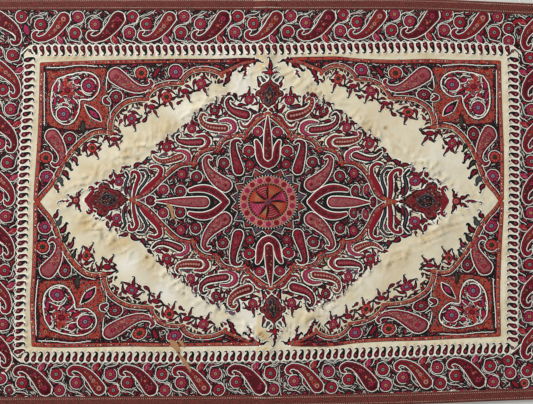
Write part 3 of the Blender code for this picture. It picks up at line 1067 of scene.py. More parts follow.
LOBES = (
    ((268.2, 113.8), (260, 119.2), (252, 127), (246.4, 133.8), (244.6, 139)),
    ((248.4, 136), (240, 135.6), (231, 136.8), (224, 140.2), (219.6, 145.4), (217.4, 151.6)),
    ((220.4, 149), (211, 148.8), (203.4, 151.2), (197.6, 155.6), (194.6, 161), (193.4, 166)),
    (
        (196.4, 163.4), (187, 163.4), (179, 165.4), (172, 170), (166, 175.6), (160, 181.2), (154, 187.4),
        (147, 193.4), (139, 198), (130.6, 201.7),
    ),
)
# The outer limit of the dense fringe that surrounds the lobes, from the top palmette to the left one.
FRINGE_LIMIT = (
    (268.2, 106), (262, 107), (256, 100), (250, 106), (242, 105), (238, 104), (232, 112), (228, 114),
    (222, 108), (216, 116), (209, 121), (212, 124), (204, 129), (198, 133), (190, 136), (183, 139),
    (180, 143), (178, 147), (174, 151), (168, 156), (158, 163), (150, 165), (144, 169), (138, 171),
    (131, 173), (125, 180), (118, 188), (112, 191), (119, 194), (130.6, 201.7),
)


SEAM = 1.5  # how far the quarters of a stitched ground reach over the middle lines, in squares


def medallion_outline():
    x, y = MEDALLION
    return np.concatenate([joined(LOBES), [(130.6, y + SEAM), (x + SEAM, y + SEAM), (x + SEAM, 113.8)]])


def fringe_outline():
    return np.concatenate([np.array(FRINGE_LIMIT), joined(LOBES)[::-1]])


MEDALLION_FIGURES = (
    (
        ROSE,
        (
            (211.4, 158.6, 0.7), (208.4, 156.8, 1.2), (205.6, 159.4, 1.7), (206.2, 166.2, 2.5),
            (210.4, 173.2, 4), (216.6, 179.4, 5.4), (223.4, 184.2, 6.1), (225.2, 185.2, 6.1),
        ),
    ),
    (
        DARK,
        (
            (241.2, 142.4, 0.7), (238.2, 140, 1.1), (234.8, 142, 1.9), (234, 149.4, 2.7), (235.6, 158, 3.6),
            (237.6, 166, 4.4), (238.6, 170, 4.6),
        ),
    ),
)
DARK_THREADS = ("wine", "red", "crimson", "slate", "rose", "wine", "black", "olive")
MEDALLION_FLOWERS = (
    Flower(249.4, 151.2, 5, "red"), Flower(224, 163.2, 5, "crimson"), Flower(196.4, 177, 5, "crimson"),
    Flower(180.4, 191.6, 4.8, "crimson"), Flower(163.2, 190.4, 4.5, "magenta"),
    Flower(258.6, 131.8, 4.5, "magenta"), Flower(150.6, 201.7, 4.4, "magenta"),
)
PETAL = (
    (268.2, 116.5, 0.3), (268.2, 124, 1.5), (268.2, 132, 2.6), (268.3, 141, 3.3), (268.3, 150, 3.6),
    (268.2, 156.4, 3.5),
)
# Halves of the cradles that hold the axis petals.
CRADLE_ARM = (
    (257, 141.6, 1.4), (258.6, 146, 2.5), (259.4, 152, 3), (260.8, 158.4, 3.1), (264.2, 163.4, 2.9),
    (268.2, 165.4, 2.6),
)
SIDE_PETAL = (
    (156, 202, 0.3), (166, 202, 1.6), (178, 202, 3.4), (190, 201.9, 4.4), (199, 201.8, 4.8),
    (204.4, 201.7, 4.7),
)
SIDE_ARM = (
    (190, 190.4, 1.4), (197, 188.8, 2.4), (205, 188.6, 3), (213, 191, 3.1), (220, 195.6, 2.9),
    (226.4, 201.7, 2.4),
)


STAR_SQUASH = 0.9  # the star and the wheel are this much lower than wide


def star_ring(basket):
    """The ring of pointed rays round the centre wheel and the zigzag cord that holds it."""
    rays = 18
    x0, y0 = MEDALLION

    def place(turn, reach):
        return around(x0, y0, turn, reach, STAR_SQUASH)

    zigzag = []
    for n in range(rays):
        angle = 2 * pi * (n + 0.5) / rays
        back, ahead = angle - pi / rays, angle + pi / rays
        tip = (37.6, 35.6, 38.2, 36.4, 37.0)[n % 5]
        outline = [place(back, 29.6), place(angle, 29.6), place(ahead, 29.6), place(ahead, 31.0)]
        outline += [place(angle, tip), place(back, 31.0)]
        basket.field(("red_grey", "slate")[n % 2], outline, 1, spacing=3)
        basket.disc(("red", "crimson")[n % 2], *place(angle, 32.8), 1.2, 2, sides=10)
        zigzag += [place(back, 32.2), place(angle, tip + 0.8)]
    zigzag.append(zigzag[0])
    fine = [np.linspace(a, b, 5)[:-1] for a, b in zip(zigzag[:-1], zigzag[1:])]
    fine = np.concatenate(fine + [zigzag[-1:]])
    basket.cord("cream", fine, 0.36, 1, smooth=False)
    basket.keep_clear(*fine.T, 0.6)
    for reach, radius in ((0.0, 17.0), (20.0, 4.5), (28.0, 4.5), (33.4, 1.6)):
        ring = arc(x0, y0, reach, 0, 360, 120, STAR_SQUASH)
        basket.keep_clear(*ring.T, radius)


def ring_of(basket, thread, rx, ry, width, level):
    """A flat ring of stitches round the medallion's middle."""
    angles = np.linspace(0, 2 * pi, 73)
    line = np.column_stack([MEDALLION[0] + np.cos(angles) * rx, MEDALLION[1] + np.sin(angles) * ry])
    sideways = normals_of(line)
    sideways[0] = sideways[-1] = unit(sideways[0] + sideways[-1])
    half = np.full(len(line), width / 2)
    offsets = np.stack([-half, 0.25 - half, half * 0, half - 0.25, half], axis=1)
    seat, top = seat_and_top(level)
    basket.add_strip(thread, line, sideways, offsets, [seat, top, top, top, seat])


WHEEL_SPOKES = (-90, -40, 2, 47, 97, 124, 180, 223)  # degrees
WHEEL_FILLS = ("orange", "magenta", "orange", "crimson", "orange", "magenta", "orange", "crimson")


def centre_wheel(basket):
    """The wheel in the medallion's middle: a ring of flowers between two beaded rings, round eight fans."""
    x0, y0 = MEDALLION

    def place(turn, rx, ry):
        return x0 + cos(turn) * rx, y0 + sin(turn) * ry

    ring_of(basket, "pink", 24.2, 21.6, 9.0, 1)
    for rx, ry, beads, thread in ((29.2, 26.2, 64, "cream"), (19.3, 17.4, 46, "tan")):
        ring_of(basket, "black", rx, ry, 1.9, 2)
        for n in range(beads):
            angle = 2 * pi * n / beads
            basket.fleck(thread, *place(angle, rx, ry), angle, 1.9, 0.9, 3)
    flowers = 18
    for n in range(flowers):
        angle = 2 * pi * (n + 0.5) / flowers
        x, y = place(angle, 24.4, 21.8)
        basket.disc(("magenta", "crimson")[n % 2], x, y, 3.0, 2, sides=15, lobes=5)
        for k in range(5):
            turn = angle + 2 * pi * k / 5
            basket.fleck("wine", x + cos(turn) * 1.5, y + sin(turn) * 1.4, turn, 2.4, 0.7, 3)
        between = angle + pi / flowers
        for reach in (22.0, 26.6):
            basket.disc("orange", *around(x0, y0, between, reach, STAR_SQUASH), 0.9, 2, sides=7)
            turn = between + 0.07
            basket.fleck("tan", *around(x0, y0, turn, reach, STAR_SQUASH), turn, 2.2, 1.0, 2)
    for n, (start, fill) in enumerate(zip(WHEEL_SPOKES, WHEEL_FILLS)):
        end = WHEEL_SPOKES[n + 1] if n < 7 else WHEEL_SPOKES[0] + 360
        rim = [place(radians(turn), 18.4, 16.6) for turn in np.linspace(start, end, 8)]
        basket.field(fill, [(x0, y0)] + rim, 2, spacing=4)
        middle = radians((start + end) / 2)
        if fill == "orange":
            for k in range(-4, 5):
                turn = middle + radians((end - start) / 11) * k
                basket.fleck("tan", *around(x0, y0, turn, 11.5, STAR_SQUASH), turn, 10.0, 0.45, 3)
        edge = radians(start)
        basket.leaf("black", *place(edge, 2.4, 2.2), *place(edge, 17.8, 16.0), 2.0, 0.07, 4, clear=0)
        if fill != "orange":
            for reach in (6.5, 9.0, 11.5, 14.0, 16.2):
                ring = arc(x0, y0, reach, start + 60 / reach, end - 60 / reach, 7, STAR_SQUASH)
                basket.cord("pink", ring, 0.3, 3, step=3.0, rise=0.0)
    basket.disc("slate", x0, y0, 2.8, 4, sides=14)
    basket.disc("crimson", x0, y0, 1.5, 5, sides=10)


def medallion_quarter(basket):
    """One quarter of the medallion inside its lobes."""
    basket.ground("black", medallion_outline())
    for n, line in enumerate(LOBES):
        dotted_band(basket, line, 1.9, 20 + n)
        basket.cord("cream", beside(line, 3.0, True)[2:-2], 0.42, 1, clear=0.2)
    for n, (style, spine) in enumerate(MEDALLION_FIGURES):
        paisley(basket, spine, style)
        threads = ROSE_THREADS if style is ROSE else DARK_THREADS
        speckle(basket, spine, threads, 170, 5, 30 + n, inset=1.4, length=2.1, width=1.1)
        jewels(basket, spine, (0.0, 7.5, 14.0), (2.2, 1.7, 1.2), ("crimson", "red"), ("wine", "rose"))
    for flower in MEDALLION_FLOWERS:
        rosette(basket, *flower)
        outlined(basket, flower, 1.2, 160, 440)
    rosette(basket, 181.4, 174.6, 4.6, "magenta")
    rosette(basket, 250.2, 164.6, 4.0, "red", petals=7)
    rosette(basket, 215.2, 150.0, 2.9, "red", petals=8)
    for arm in (CRADLE_ARM, SIDE_ARM):
        basket.body("cream", arm, 1, grow=1.4, clear=1.6)
        basket.coats(arm, ("black", 2, 0.5), ("crimson", 3, 0.0), ("wine", 4, -1.3))
        threads = ("red", "crimson", "rose", "olive")
        speckle(basket, arm, threads, 46, 5, 47, inset=1.2, length=1.8, width=0.8)


def axis_petals(basket):
    """The long petals on the medallion's two axes."""
    for rows, heart, across in ((PETAL, "wine", False), (SIDE_PETAL, "rose", True)):
        start = basket.mark()
        basket.body("cream", rows, 4, grow=1.2, clear=1.4)
        basket.coats(rows, ("black", 5, 0.4), ("crimson", 6, 0), (heart, 7, -1.1))
        threads = ROSE_THREADS if across else ("crimson", "tan", "red", "olive")
        speckle(basket, rows, threads, 110 if across else 50, 8, 43, inset=1.4, length=1.6, width=0.9)
        basket.turned_over(start, across=across, down=not across)


# ---------------------------------------------------------------- figures outside the medallion's lobes

FRINGE_FIGURES = (
    (
        BLACK_RIM,
        (
            (233.6, 100.6, 0.6), (231, 98.4, 1), (228.2, 101, 1.5), (229.2, 106.6, 2.2), (233.8, 111, 3),
            (240.2, 113.6, 3.8), (246.6, 115.2, 4),
        ),
    ),
    (
        ORANGE,
        (
            (206.8, 115.6, 0.5), (203.6, 114.4, 0.9), (201.4, 117.4, 1.2), (202.4, 122, 1.7),
            (207.4, 126, 2.4), (215, 127.8, 3), (225.6, 128.6, 3.1),
        ),
    ),
    (
        BLACK_RIM,
        (
            (179.4, 134.8, 0.6), (177.2, 136.4, 0.9), (178, 140, 1.5), (184, 142.2, 2.6), (193, 142.6, 3.1),
            (200.6, 142, 3.3),
        ),
    ),
    (
        ORANGE,
        (
            (153.4, 157, 0.6), (157, 160.4, 1.2), (163, 162, 1.8), (171, 160.6, 2.3), (177, 158.4, 2.7),
            (180.6, 157, 2.8),
        ),
    ),
)
FRINGE_SWEEPS = (
    (
        "magenta",
        (
            (221, 121.2, 1.3), (229, 120.6, 2.1), (234.8, 124.4, 2.6), (235, 129.6, 2.5),
            (229.6, 133.4, 1.9), (220.6, 133.8, 1.1),
        ),
    ),
    (
        "crimson",
        (
            (263.4, 114.2, 1.2), (257, 116.6, 1.7), (252.4, 122.4, 1.6), (248, 126.6, 1.6),
            (243.4, 126.4, 1.4), (241, 122, 1.1),
        ),
    ),
    (
        "magenta",
        ((175, 151.2, 1.2), (183, 151.6, 2), (188.4, 155.6, 2.4), (188.4, 160.2, 2.2), (182.6, 164, 1.3)),
    ),
    (
        "crimson",
        ((196.6, 136.6, 1.2), (205, 136.6, 2), (209, 141, 2.3), (206.6, 146.2, 2), (199.4, 149.4, 1.2)),
    ),
)
TENDRILS = (
    (
        "crimson",
        (
            (133.4, 199, 0.9), (134.4, 192, 1.4), (136.6, 184, 1.6), (138.4, 177.6, 1.6), (136, 173.6, 1.4),
            (131.8, 173.6, 1.2), (131, 177.4, 0.9),
        ),
    ),
    (
        "black",
        (
            (136.4, 199.2, 0.8), (139.4, 190.6, 1.1), (144.6, 183.4, 1.2), (147.4, 176.4, 1.2),
            (144.2, 171.4, 1.1), (139.4, 171.4, 0.8),
        ),
    ),
    (
        "crimson",
        (
            (139.4, 197.4, 1.2), (146.2, 189.6, 2.2), (153.4, 183, 2.4), (159.4, 176, 2.1),
            (160.6, 170, 1.7), (156.6, 167, 1.4), (150.4, 168.2, 1),
        ),
    ),
    (
        "black",
        ((126.6, 198, 0.8), (124.6, 191, 1.2), (125.4, 184, 1.2), (127.4, 178, 1), (125, 173.4, 0.8)),
    ),
)
FRINGE_FLOWERS = (
    Spray(249.4, 100.2, 4.3, "magenta", -88), Spray(215.4, 110.6, 4.9, "crimson", -80),
    Spray(192, 128.8, 4.4, "magenta", -98), Spray(166.6, 147.4, 4.7, "red", -98),
    Spray(118.6, 183.4, 4.4, "cool magenta", -130),
)
FRINGE_LEAVES = (
    Leaf(238, 106.4, 249, 107.4, 3.4, 0.2), Leaf(225.6, 116.4, 231.6, 109.6, 3.4, 0.2),
    Leaf(207.4, 119.6, 219, 118.6, 3.4, -0.1), Leaf(196, 132, 205, 127.6, 3.4, -0.2),
    Leaf(172, 152, 179.6, 147.6, 3.4, 0.2), Leaf(143, 166, 146.4, 156.6, 3.8, -0.1),
    Leaf(133.6, 169.4, 144.4, 166.4, 4.2, 0.34), Leaf(146, 163.6, 152.6, 160.4, 3.2, 0.2, core="slate"),
    Leaf(145.6, 170, 152, 177, 3.6, -0.3), Leaf(112.6, 190.6, 103.4, 194, 3.6, 0.16),
    Leaf(124, 187, 128.4, 196.6, 3.8, -0.2), Leaf(160.6, 164.6, 168, 168.4, 3.6, 0.2, core="slate"),
    Leaf(240, 131, 231, 137, 3, 0.2, core="olive"),
)


def fringe_quarter(basket, swapped):
    """One quarter of the fringe; its two kinds of teardrop figure change places if asked."""
    for n, (style, spine) in enumerate(FRINGE_FIGURES):
        orange = (style is ORANGE) != swapped
        thorned(basket, spine)
        paisley(basket, spine, ORANGE if orange else BLACK_RIM, under=True)
        threads = ("crimson", "orange", "wine") if orange else ("wine", "crimson", "rose")
        speckle(basket, spine, threads, 36, 5, 50 + n, inset=1.1, length=1.6, width=0.8)
        for x, y, half in smooth_rows(spine, 2.9)[2:]:
            basket.disc("pink" if orange else "rose", x, y, min(half * 0.46, 1.3), 6, sides=7)
    for thread, rows in FRINGE_SWEEPS:
        thorned(basket, rows, 1.9)
        basket.body("cream", rows, 1, grow=0.5, clear=0.3)
        basket.coats(rows, ("black", 2, 0), (thread, 3, -0.55))
        for x, y, _ in smooth_rows(rows, 2.1)[1:-1]:
            basket.fleck("pink" if thread == "magenta" else "rose", x - 0.4, y, x + y, 1.5, 0.9, 4)
            basket.fleck("black", x + 0.9, y + 0.5, x + y, 1.5, 0.7, 4)
    for thread, rows in TENDRILS:
        thorned(basket, rows, 1.9)
        basket.body("cream", rows, 1, grow=1.1, clear=0.3)
        heart = ("slate", 3, -0.8) if thread == "black" else (thread, 3, -0.2)
        basket.coats(rows, ("black", 2, 0.45), heart)
    for flower in FRINGE_FLOWERS:
        spray(basket, flower, flower.outward, "slate" if flower.ring == "crimson" else "crimson")
    for leaf in FRINGE_LEAVES:
        curled_leaf(basket, leaf)


# ---------------------------------------------------------------- the palmettes at the four tips

TOP_PALMETTE = (
    (268.2, 77.4), (267.3, 80.4), (265.2, 83), (261.8, 85), (260.2, 87.2), (260, 89.8), (257.2, 91),
    (255.6, 93.6), (256.6, 96.4), (259.8, 97.4), (260.6, 99.6), (262.2, 102.6), (265.2, 105.2),
    (268.2, 107.6),
)
SIDE_PALMETTE = (
    (128.4, 201.7), (125.6, 199), (121.4, 195.4), (116.6, 192.2), (111, 191), (109.2, 188), (105.6, 185.2),
    (101, 185.6), (98.2, 188.8), (98.8, 192), (95, 193.6), (91, 196), (87.6, 199), (85, 201.7),
)
TOP_PALMETTE_DOTS = (
    (268.2, 83.6, 1.5, "crimson"), (264.4, 87.4, 1.4, "crimson"), (259.6, 93.4, 1.3, "wine"),
    (263, 93.6, 1.5, "wine"), (263.4, 98.4, 1.5, "crimson"),
)
SIDE_PALMETTE_DOTS = (
    (90.6, 201.7, 2, "crimson"), (95.6, 198, 1.5, "wine"), (101.4, 189, 1.7, "crimson"),
    (106, 190.6, 1.5, "wine"), (112.6, 193.8, 1.5, "crimson"), (119.6, 197.6, 1.5, "wine"),
    (121.6, 201.7, 1.5, "crimson"),
)
TOP_PANEL = (
    (268.2, 87.6, 0.6), (268.2, 91.6, 2.8), (268.2, 96.6, 3.9), (268.2, 101, 3), (268.2, 104.4, 0.8),
)
SIDE_PANEL = (
    (99.6, 201.7, 0.8), (103.4, 201.7, 4.2), (108.6, 201.7, 5.4), (113.6, 201.7, 4.2), (117.6, 201.7, 0.8),
)
PANEL_THREADS = ("olive", "crimson", "black", "grey", "olive", "wine", "tan", "slate")
SIDE_CURL = (
    (86, 200.8, 1.6), (89, 197.4, 1.9), (92.4, 193.4, 1.8), (92.8, 190, 1.6), (89.6, 188.4, 1.2),
    (87.4, 190.8, 0.7),
)
TOP_PALMETTE_LEAVES = (
    Leaf(259.8, 89, 254.6, 77.6, 3.4, -0.1), Leaf(264.2, 82.6, 260.6, 75.6, 2.8, 0.16, core="slate"),
    Leaf(266, 79, 263, 74.6, 1.6, 0.1, core=None), Leaf(256.6, 91, 253, 88.4, 1.6, 0, core=None),
    Leaf(262.4, 101.6, 257.6, 113, 4.4, 0.1, core="red"), Leaf(266.6, 107.6, 261.6, 113.4, 3.2, 0.1),
    Leaf(260, 98, 258.4, 103.6, 2.2, 0.1, core=None), Leaf(267, 73.6, 260.6, 71.6, 3.2, 0.1, core="red"),
    Leaf(266.4, 70.8, 262.6, 66.2, 1.6, 0, core=None),
)
SIDE_PALMETTE_LEAVES = (
    Leaf(73, 199, 68, 194.4, 3.6, 0.2), Leaf(78.6, 199, 84, 191.4, 3.4, 0.3),
    Leaf(76.6, 197.6, 77.4, 193, 1.8, 0.2, core=None), Leaf(100.4, 188.8, 88.6, 189, 3.4, 0.24),
    Leaf(112, 182.4, 99.8, 185.2, 3.4, 0.2), Leaf(109.6, 181, 115.8, 172.4, 3.2, 0.2),
    Leaf(104, 184.6, 102, 180.6, 1.6, 0.1, core=None), Leaf(96.4, 187, 94.4, 183.8, 1.4, 0.1, core=None),
    Leaf(121.6, 193.6, 116, 189.4, 2.6, 0.1), Leaf(126.4, 197.6, 124.6, 185, 3, -0.1),
)


def closed_palmette(half_outline, across):
    """The whole outline from one half, turned over about its axis."""
    half = np.array(half_outline)
    other = turned(half, across, not across)[::-1]
    return np.concatenate([half, other[1:-1]])


PALMETTE_THREADS = ("wine", "black", "crimson", "olive", "wine", "crimson", "black", "red_grey", "grey")


def palmette(basket, outline, dots, leaves, spine, across, seed):
    """One palmette: a flecked brown field with a rim, curled leaves round it, a panel and dots."""
    start = basket.mark()
    whole = closed_palmette(outline, across)
    smooth = smooth_rows(np.concatenate([whole, whole[:1]]), 1.5)[:-1]
    middle = smooth.mean(axis=0)
    from_middle = smooth - middle
    basket.cord("cream", middle + from_middle * 1.1, 0.7, 1, closed=True)
    basket.field("brown", smooth, 1, spacing=2.5)
    basket.cord("black", smooth, 0.6, 1, closed=True)
    chance = np.random.default_rng(seed)
    for x, y in scattered(middle + from_middle * 0.92, 1.4, chance):
        thread = PALMETTE_THREADS[chance.integers(len(PALMETTE_THREADS))]
        basket.fleck(thread, x, y, chance.uniform(0, pi), 2.1, 1.2, 2)
    basket.cord("red_grey", middle + from_middle * 0.86, 0.45, 2, closed=True)
    for share in (1.0, 0.6, 0.2):
        ring = middle + from_middle[::2] * share
        basket.keep_clear(*ring.T, 2.0)
    part = basket.mark()
    for leaf in leaves:
        curled_leaf(basket, leaf)
    basket.turned_over(part, across=across, down=not across)
    basket.body("black", spine, 3)
    basket.cord("slate", outline_of(smooth_rows(spine, 1.4)), 0.5, 3, closed=True)
    speckle(basket, spine, PANEL_THREADS, 60, 4, seed + 2, inset=0.8, length=2.0, width=1.0)
    for x, y, radius, thread in dots:
        basket.disc(thread, x, y, radius, 4, sides=10)
        if (x, y)[0 if across else 1] != MEDALLION[0 if across else 1]:
            ((other_x, other_y),) = turned([(x, y)], across, not across)
            basket.disc(thread, other_x, other_y, radius, 4, sides=10)
    return start


def palmette_pairs(basket):
    """The four palmettes, each with the finial at its tip."""
    start = palmette(basket, TOP_PALMETTE, TOP_PALMETTE_DOTS, TOP_PALMETTE_LEAVES, TOP_PANEL, True, 61)
    basket.sprig(268.2, 70.6, 268.2, 57.4, 4.6, bend=0.0)
    basket.body("black", ((268.2, 79, 1.2), (268.2, 76, 1.6), (268.2, 73, 3), (268.2, 70.6, 2.2)), 2)
    basket.body("red", ((268.2, 75, 1), (268.2, 73, 2.2), (268.2, 71, 1.5)), 3)
    basket.turned_over(start, down=True)
    start = palmette(basket, SIDE_PALMETTE, SIDE_PALMETTE_DOTS, SIDE_PALMETTE_LEAVES, SIDE_PANEL, False, 62)
    basket.sprig(69.4, 201.7, 57.4, 201.7, 3.4, core="magenta", bend=0.0)
    basket.disc("black", 75.8, 201.7, 4.2, 2, sides=16, clear=1.0)
    basket.disc("crimson", 75.8, 201.7, 3.4, 3, sides=16)
    basket.disc("tan", 75.8, 201.7, 2.1, 4, sides=12)
    basket.disc("magenta", 75.8, 201.7, 1.5, 5, sides=12)
    part = basket.mark()
    basket.coats(SIDE_CURL, ("cream", 1, 0.7), ("black", 2, 0.1), ("crimson", 3, -0.5), clear=0.3)
    basket.turned_over(part, down=True)
    basket.turned_over(start, across=True)


# ---------------------------------------------------------------- the scroll filling

CELL = 0.5
PAPER_LOW = (-32, -6)
PAPER_CELLS = (1200, 838)  # across, down


class Coverage:
    """Which cells of the paper are already stitched."""

    def __init__(self):
        self.taken = np.zeros(PAPER_CELLS[::-1], bool)
        self.xs, self.ys = (low + (np.arange(n) + 0.5) * CELL for low, n in zip(PAPER_LOW, PAPER_CELLS))

    def cells(self, x, y):
        at = [((np.asarray(value) - low) / CELL).astype(int) for value, low in zip((x, y), PAPER_LOW)]
        return np.clip(at[0], 0, PAPER_CELLS[0] - 1), np.clip(at[1], 0, PAPER_CELLS[1] - 1)

    def window(self, low, high):
        (i0, j0), (i1, j1) = self.cells(*low), self.cells(*high)
        return slice(j0, j1 + 1), slice(i0, i1 + 1)

    def stamp(self, x, y, radius):
        rows, columns = self.window((x - radius, y - radius), (x + radius, y + radius))
        near = (self.xs[None, columns] - x) ** 2 + (self.ys[rows, None] - y) ** 2 <= radius**2
        self.taken[rows, columns] |= near

    def stamp_all(self, marks):
        for x, y, radius in marks:
            self.stamp(x, y, radius)

    def free(self, x, y):
        i, j = self.cells(x, y)
        return not self.taken[j, i].any()

    def region(self, outline):
        """The cells inside an outline and its copies in the other quarters."""
        xs, ys = np.meshgrid(self.xs, self.ys)
        found = np.zeros(self.taken.shape, bool)
        for turn in ALL_QUARTERS:
            shape = turned(np.array(outline, float), *turn)
            window = self.window(shape.min(axis=0) - 1, shape.max(axis=0) + 1)
            found[window] |= inside_outline(shape, xs[window], ys[window])
        return found


def blurred(grid, reach):
    """A box blur, twice over, of a grid of cells."""
    out = grid.astype(float)
    width = 2 * reach + 1
    for axis in (0, 1, 0, 1):
        margins = [(reach + 1, reach) if a == axis else (0, 0) for a in (0, 1)]
        total = np.cumsum(np.pad(out, margins, mode="edge"), axis=axis)
        start = np.arange(out.shape[axis])
        out = (np.take(total, start + width, axis=axis) - np.take(total, start, axis=axis)) / width
    return out


# How the ground between the figures is filled. Lengths are in squares.
Plan = namedtuple(
    "Plan",
    "large apart stem_thread stem_spacing stem_half small threads cores curled share_clear flecks"
    " fleck_size",
)
LeafSize = namedtuple("LeafSize", "length width")
DARK_GROUND = Plan(
    large=(LeafSize(6, 3), LeafSize(4.8, 2.6)), apart=9, stem_thread="cream", stem_spacing=2.1,
    stem_half=0.37, small=(LeafSize(4.4, 1.8), LeafSize(3.2, 1.4)),
    threads=("crimson", "red", "crimson", "wine", "red", "magenta"), cores=(None, "magenta", "red", None),
    curled=False, share_clear=0.4, flecks=("wine", "crimson", "grey", "olive", "red", "cream", "slate"),
    fleck_size=(2.2, 1),
)
LIGHT_GROUND = Plan(
    large=(LeafSize(9.6, 4.6), LeafSize(8, 4), LeafSize(6.8, 3.6), LeafSize(5.6, 3.1), LeafSize(4.8, 2.7)),
    apart=0, stem_thread="black", stem_spacing=3.8, stem_half=0.55, small=(LeafSize(3.8, 2.1),),
    threads=("black",) * 8 + ("wine", "slate"),
    cores=("crimson", "wine", "crimson", "magenta", "crimson", "wine"), curled=True, share_clear=0.32,
    flecks=(), fleck_size=(2.6, 1.2),
)


def flow_round(coverage, region):
    """The direction at each cell that runs along the nearest figures' edges."""
    soft = blurred(coverage.taken | ~region, 7)
    slope_y, slope_x = np.gradient(soft)
    return np.arctan2(slope_x, -slope_y)


STEM_STEPS = 30  # the most steps of a stem
STEM_STEP = 0.8  # squares


def stems(basket, coverage, region, flow, chance, plan, seat, least):
    """Stems that wind between the figures, a spacing apart and none shorter than the least steps."""
    shut = blurred(coverage.taken | ~region, 1) > 0.2
    cells = np.argwhere(~shut)
    chance.shuffle(cells)
    reach = int(plan.stem_spacing / CELL)
    span = np.arange(-reach, reach + 1)
    round_patch = span[None, :] ** 2 + span[:, None] ** 2 <= reach**2
    for j, i in cells:
        if shut[j, i]:
            continue
        x, y = coverage.xs[i], coverage.ys[j]
        angle = flow[j, i] + chance.choice((0, pi)) + chance.uniform(-0.4, 0.4)
        sway = chance.uniform(-0.14, 0.14)
        trail = []
        while len(trail) < STEM_STEPS:
            ci, cj = int((x - PAPER_LOW[0]) / CELL), int((y - PAPER_LOW[1]) / CELL)
            if shut[cj, ci]:
                break
            trail.append((x, y, ci, cj))
            wanted = flow[cj, ci]
            wanted += pi * round((angle - wanted) / pi)
            angle += min(max(wanted - angle, -0.18), 0.18) + sway
            x, y = around(x, y, angle, STEM_STEP)
        if len(trail) < least:
            continue
        line = np.array([place[:2] for place in trail])
        line = np.concatenate([line[:-1:2], line[-1:]])
        basket.cord(plan.stem_thread, line, plan.stem_half, seat, smooth=False)
        for px, py, ci, cj in trail[::2]:
            coverage.stamp(px, py, plan.stem_half + 0.2)
            window = shut[cj - reach : cj + reach + 1, ci - reach : ci + reach + 1]
            window |= round_patch[: window.shape[0], : window.shape[1]]


CORED_WIDTH = 2.2  # squares; only a wider leaf has a core


def leaves(basket, coverage, region, flow, chance, plan, seat, sizes, apart):
    """Leaves of falling size in what is left, leaning off the flow, and a distance apart if asked."""
    blocked = ~region
    along = np.linspace(-0.5, 0.5, 5)
    crowd = Coverage() if apart else None
    for size in sizes:
        cells = np.argwhere(~(blocked | coverage.taken))
        chance.shuffle(cells)
        sample_x = np.repeat(along, 3) * size.length * 0.86
        sample_y = np.tile((-1, 0, 1), 5) * size.width * plan.share_clear
        sample_y = sample_y * np.repeat(1 - np.abs(along) * 1.3, 3)
        for j, i in cells:
            if coverage.taken[j, i] or (apart and crowd.taken[j, i]):
                continue
            x, y = coverage.xs[i], coverage.ys[j]
            if plan.curled:
                angle = flow[j, i] + pi / 2 + chance.normal(0, 0.8)
            else:
                angle = flow[j, i] + chance.choice((-0.35, 0.35)) + chance.normal(0, 0.2)
                angle += chance.choice((0, pi))
            ca, sa = cos(angle), sin(angle)
            at_x, at_y = x + sample_x * ca - sample_y * sa, y + sample_x * sa + sample_y * ca
            at_i, at_j = coverage.cells(at_x, at_y)
            if (blocked[at_j, at_i] | coverage.taken[at_j, at_i]).any():
                continue
            thread = plan.threads[chance.integers(len(plan.threads))]
            cored = size.width > CORED_WIDTH
            core = plan.cores[chance.integers(len(plan.cores))] if cored else None
            core = None if core == thread else core
            half = size.length / 2
            foot, tip = (x - ca * half, y - sa * half), (x + ca * half, y + sa * half)
            bend = chance.uniform(-0.16, 0.16)
            if plan.curled and cored:
                hand = 1 if bend > 0 else -1
                basket.sprig(*foot, *tip, size.width, hand, core, thread, seat, abs(bend), halo=0.35)
            else:
                basket.leaf(thread, *foot, *tip, size.width, bend, seat, core, clear=0, steps=6)
            for share in along:
                spread = size.width * (plan.share_clear + 0.1) * (1 - abs(share) * 1.2) + 0.25
                coverage.stamp(x + share * size.length * ca, y + share * size.length * sa, spread)
            if apart:
                crowd.stamp(x, y, apart)


FLECK_ROOM = 1.8  # squares that each single stitch keeps free round it


def flecks(basket, coverage, region, flow, chance, plan, seat):
    """Single stitches in the last gaps."""
    cells = np.argwhere(region & ~coverage.taken)
    chance.shuffle(cells)
    for j, i in cells:
        if coverage.taken[j, i]:
            continue
        x, y = coverage.xs[i], coverage.ys[j]
        thread = plan.flecks[chance.integers(len(plan.flecks))]
        basket.fleck(thread, x, y, flow[j, i] + chance.normal(0, 0.4), *plan.fleck_size, seat)
        coverage.stamp(x, y, FLECK_ROOM)


def scroll_filling(basket, region, coverage, seed, plan, seat=1):
    """Fills the free cells of a region with stems and leaves that follow the flow round the figures."""
    chance = np.random.default_rng(seed)
    work = (basket, coverage, region, flow_round(coverage, region), chance, plan, seat)
    leaves(*work, plan.large, plan.apart)
    for least in (6, 2):
        stems(*work, least)
    leaves(*work, plan.small, 0)
    if plan.flecks:
        flecks(*work)


# ---------------------------------------------------------------- from the paper to the cloth


def along_edge(edge, share):
    """A smooth curve through an edge's five values, at shares of its length from 0 to 1."""
    values = np.array(edge)
    last = len(values) - 1
    share = np.asarray(share, float)
    step = np.clip((share * last).astype(int), 0, last - 1)
    t = share * last - step
    here, beyond = values[step], values[step + 1]
    slope_in = (beyond - values[np.maximum(step - 1, 0)]) / 2
    slope_out = (values[np.minimum(step + 2, last)] - here) / 2
    return (
        here * (2 * t**3 - 3 * t**2 + 1)
        + slope_in * (t**3 - 2 * t**2 + t)
        + beyond * (3 * t**2 - 2 * t**3)
        + slope_out * (t**3 - t**2)
    )


def plan_point(u, v):
    x = along_edge(LEFT_EDGE, v) * (1 - u) + along_edge(RIGHT_EDGE, v) * u
    y = along_edge(BOTTOM_EDGE, u) * (1 - v) + along_edge(TOP_EDGE, u) * v
    return x, y


def fade(distance, reach):
    return np.where(distance < reach, 0.5 + 0.5 * np.cos(pi * np.minimum(distance / reach, 1)), 0.0)


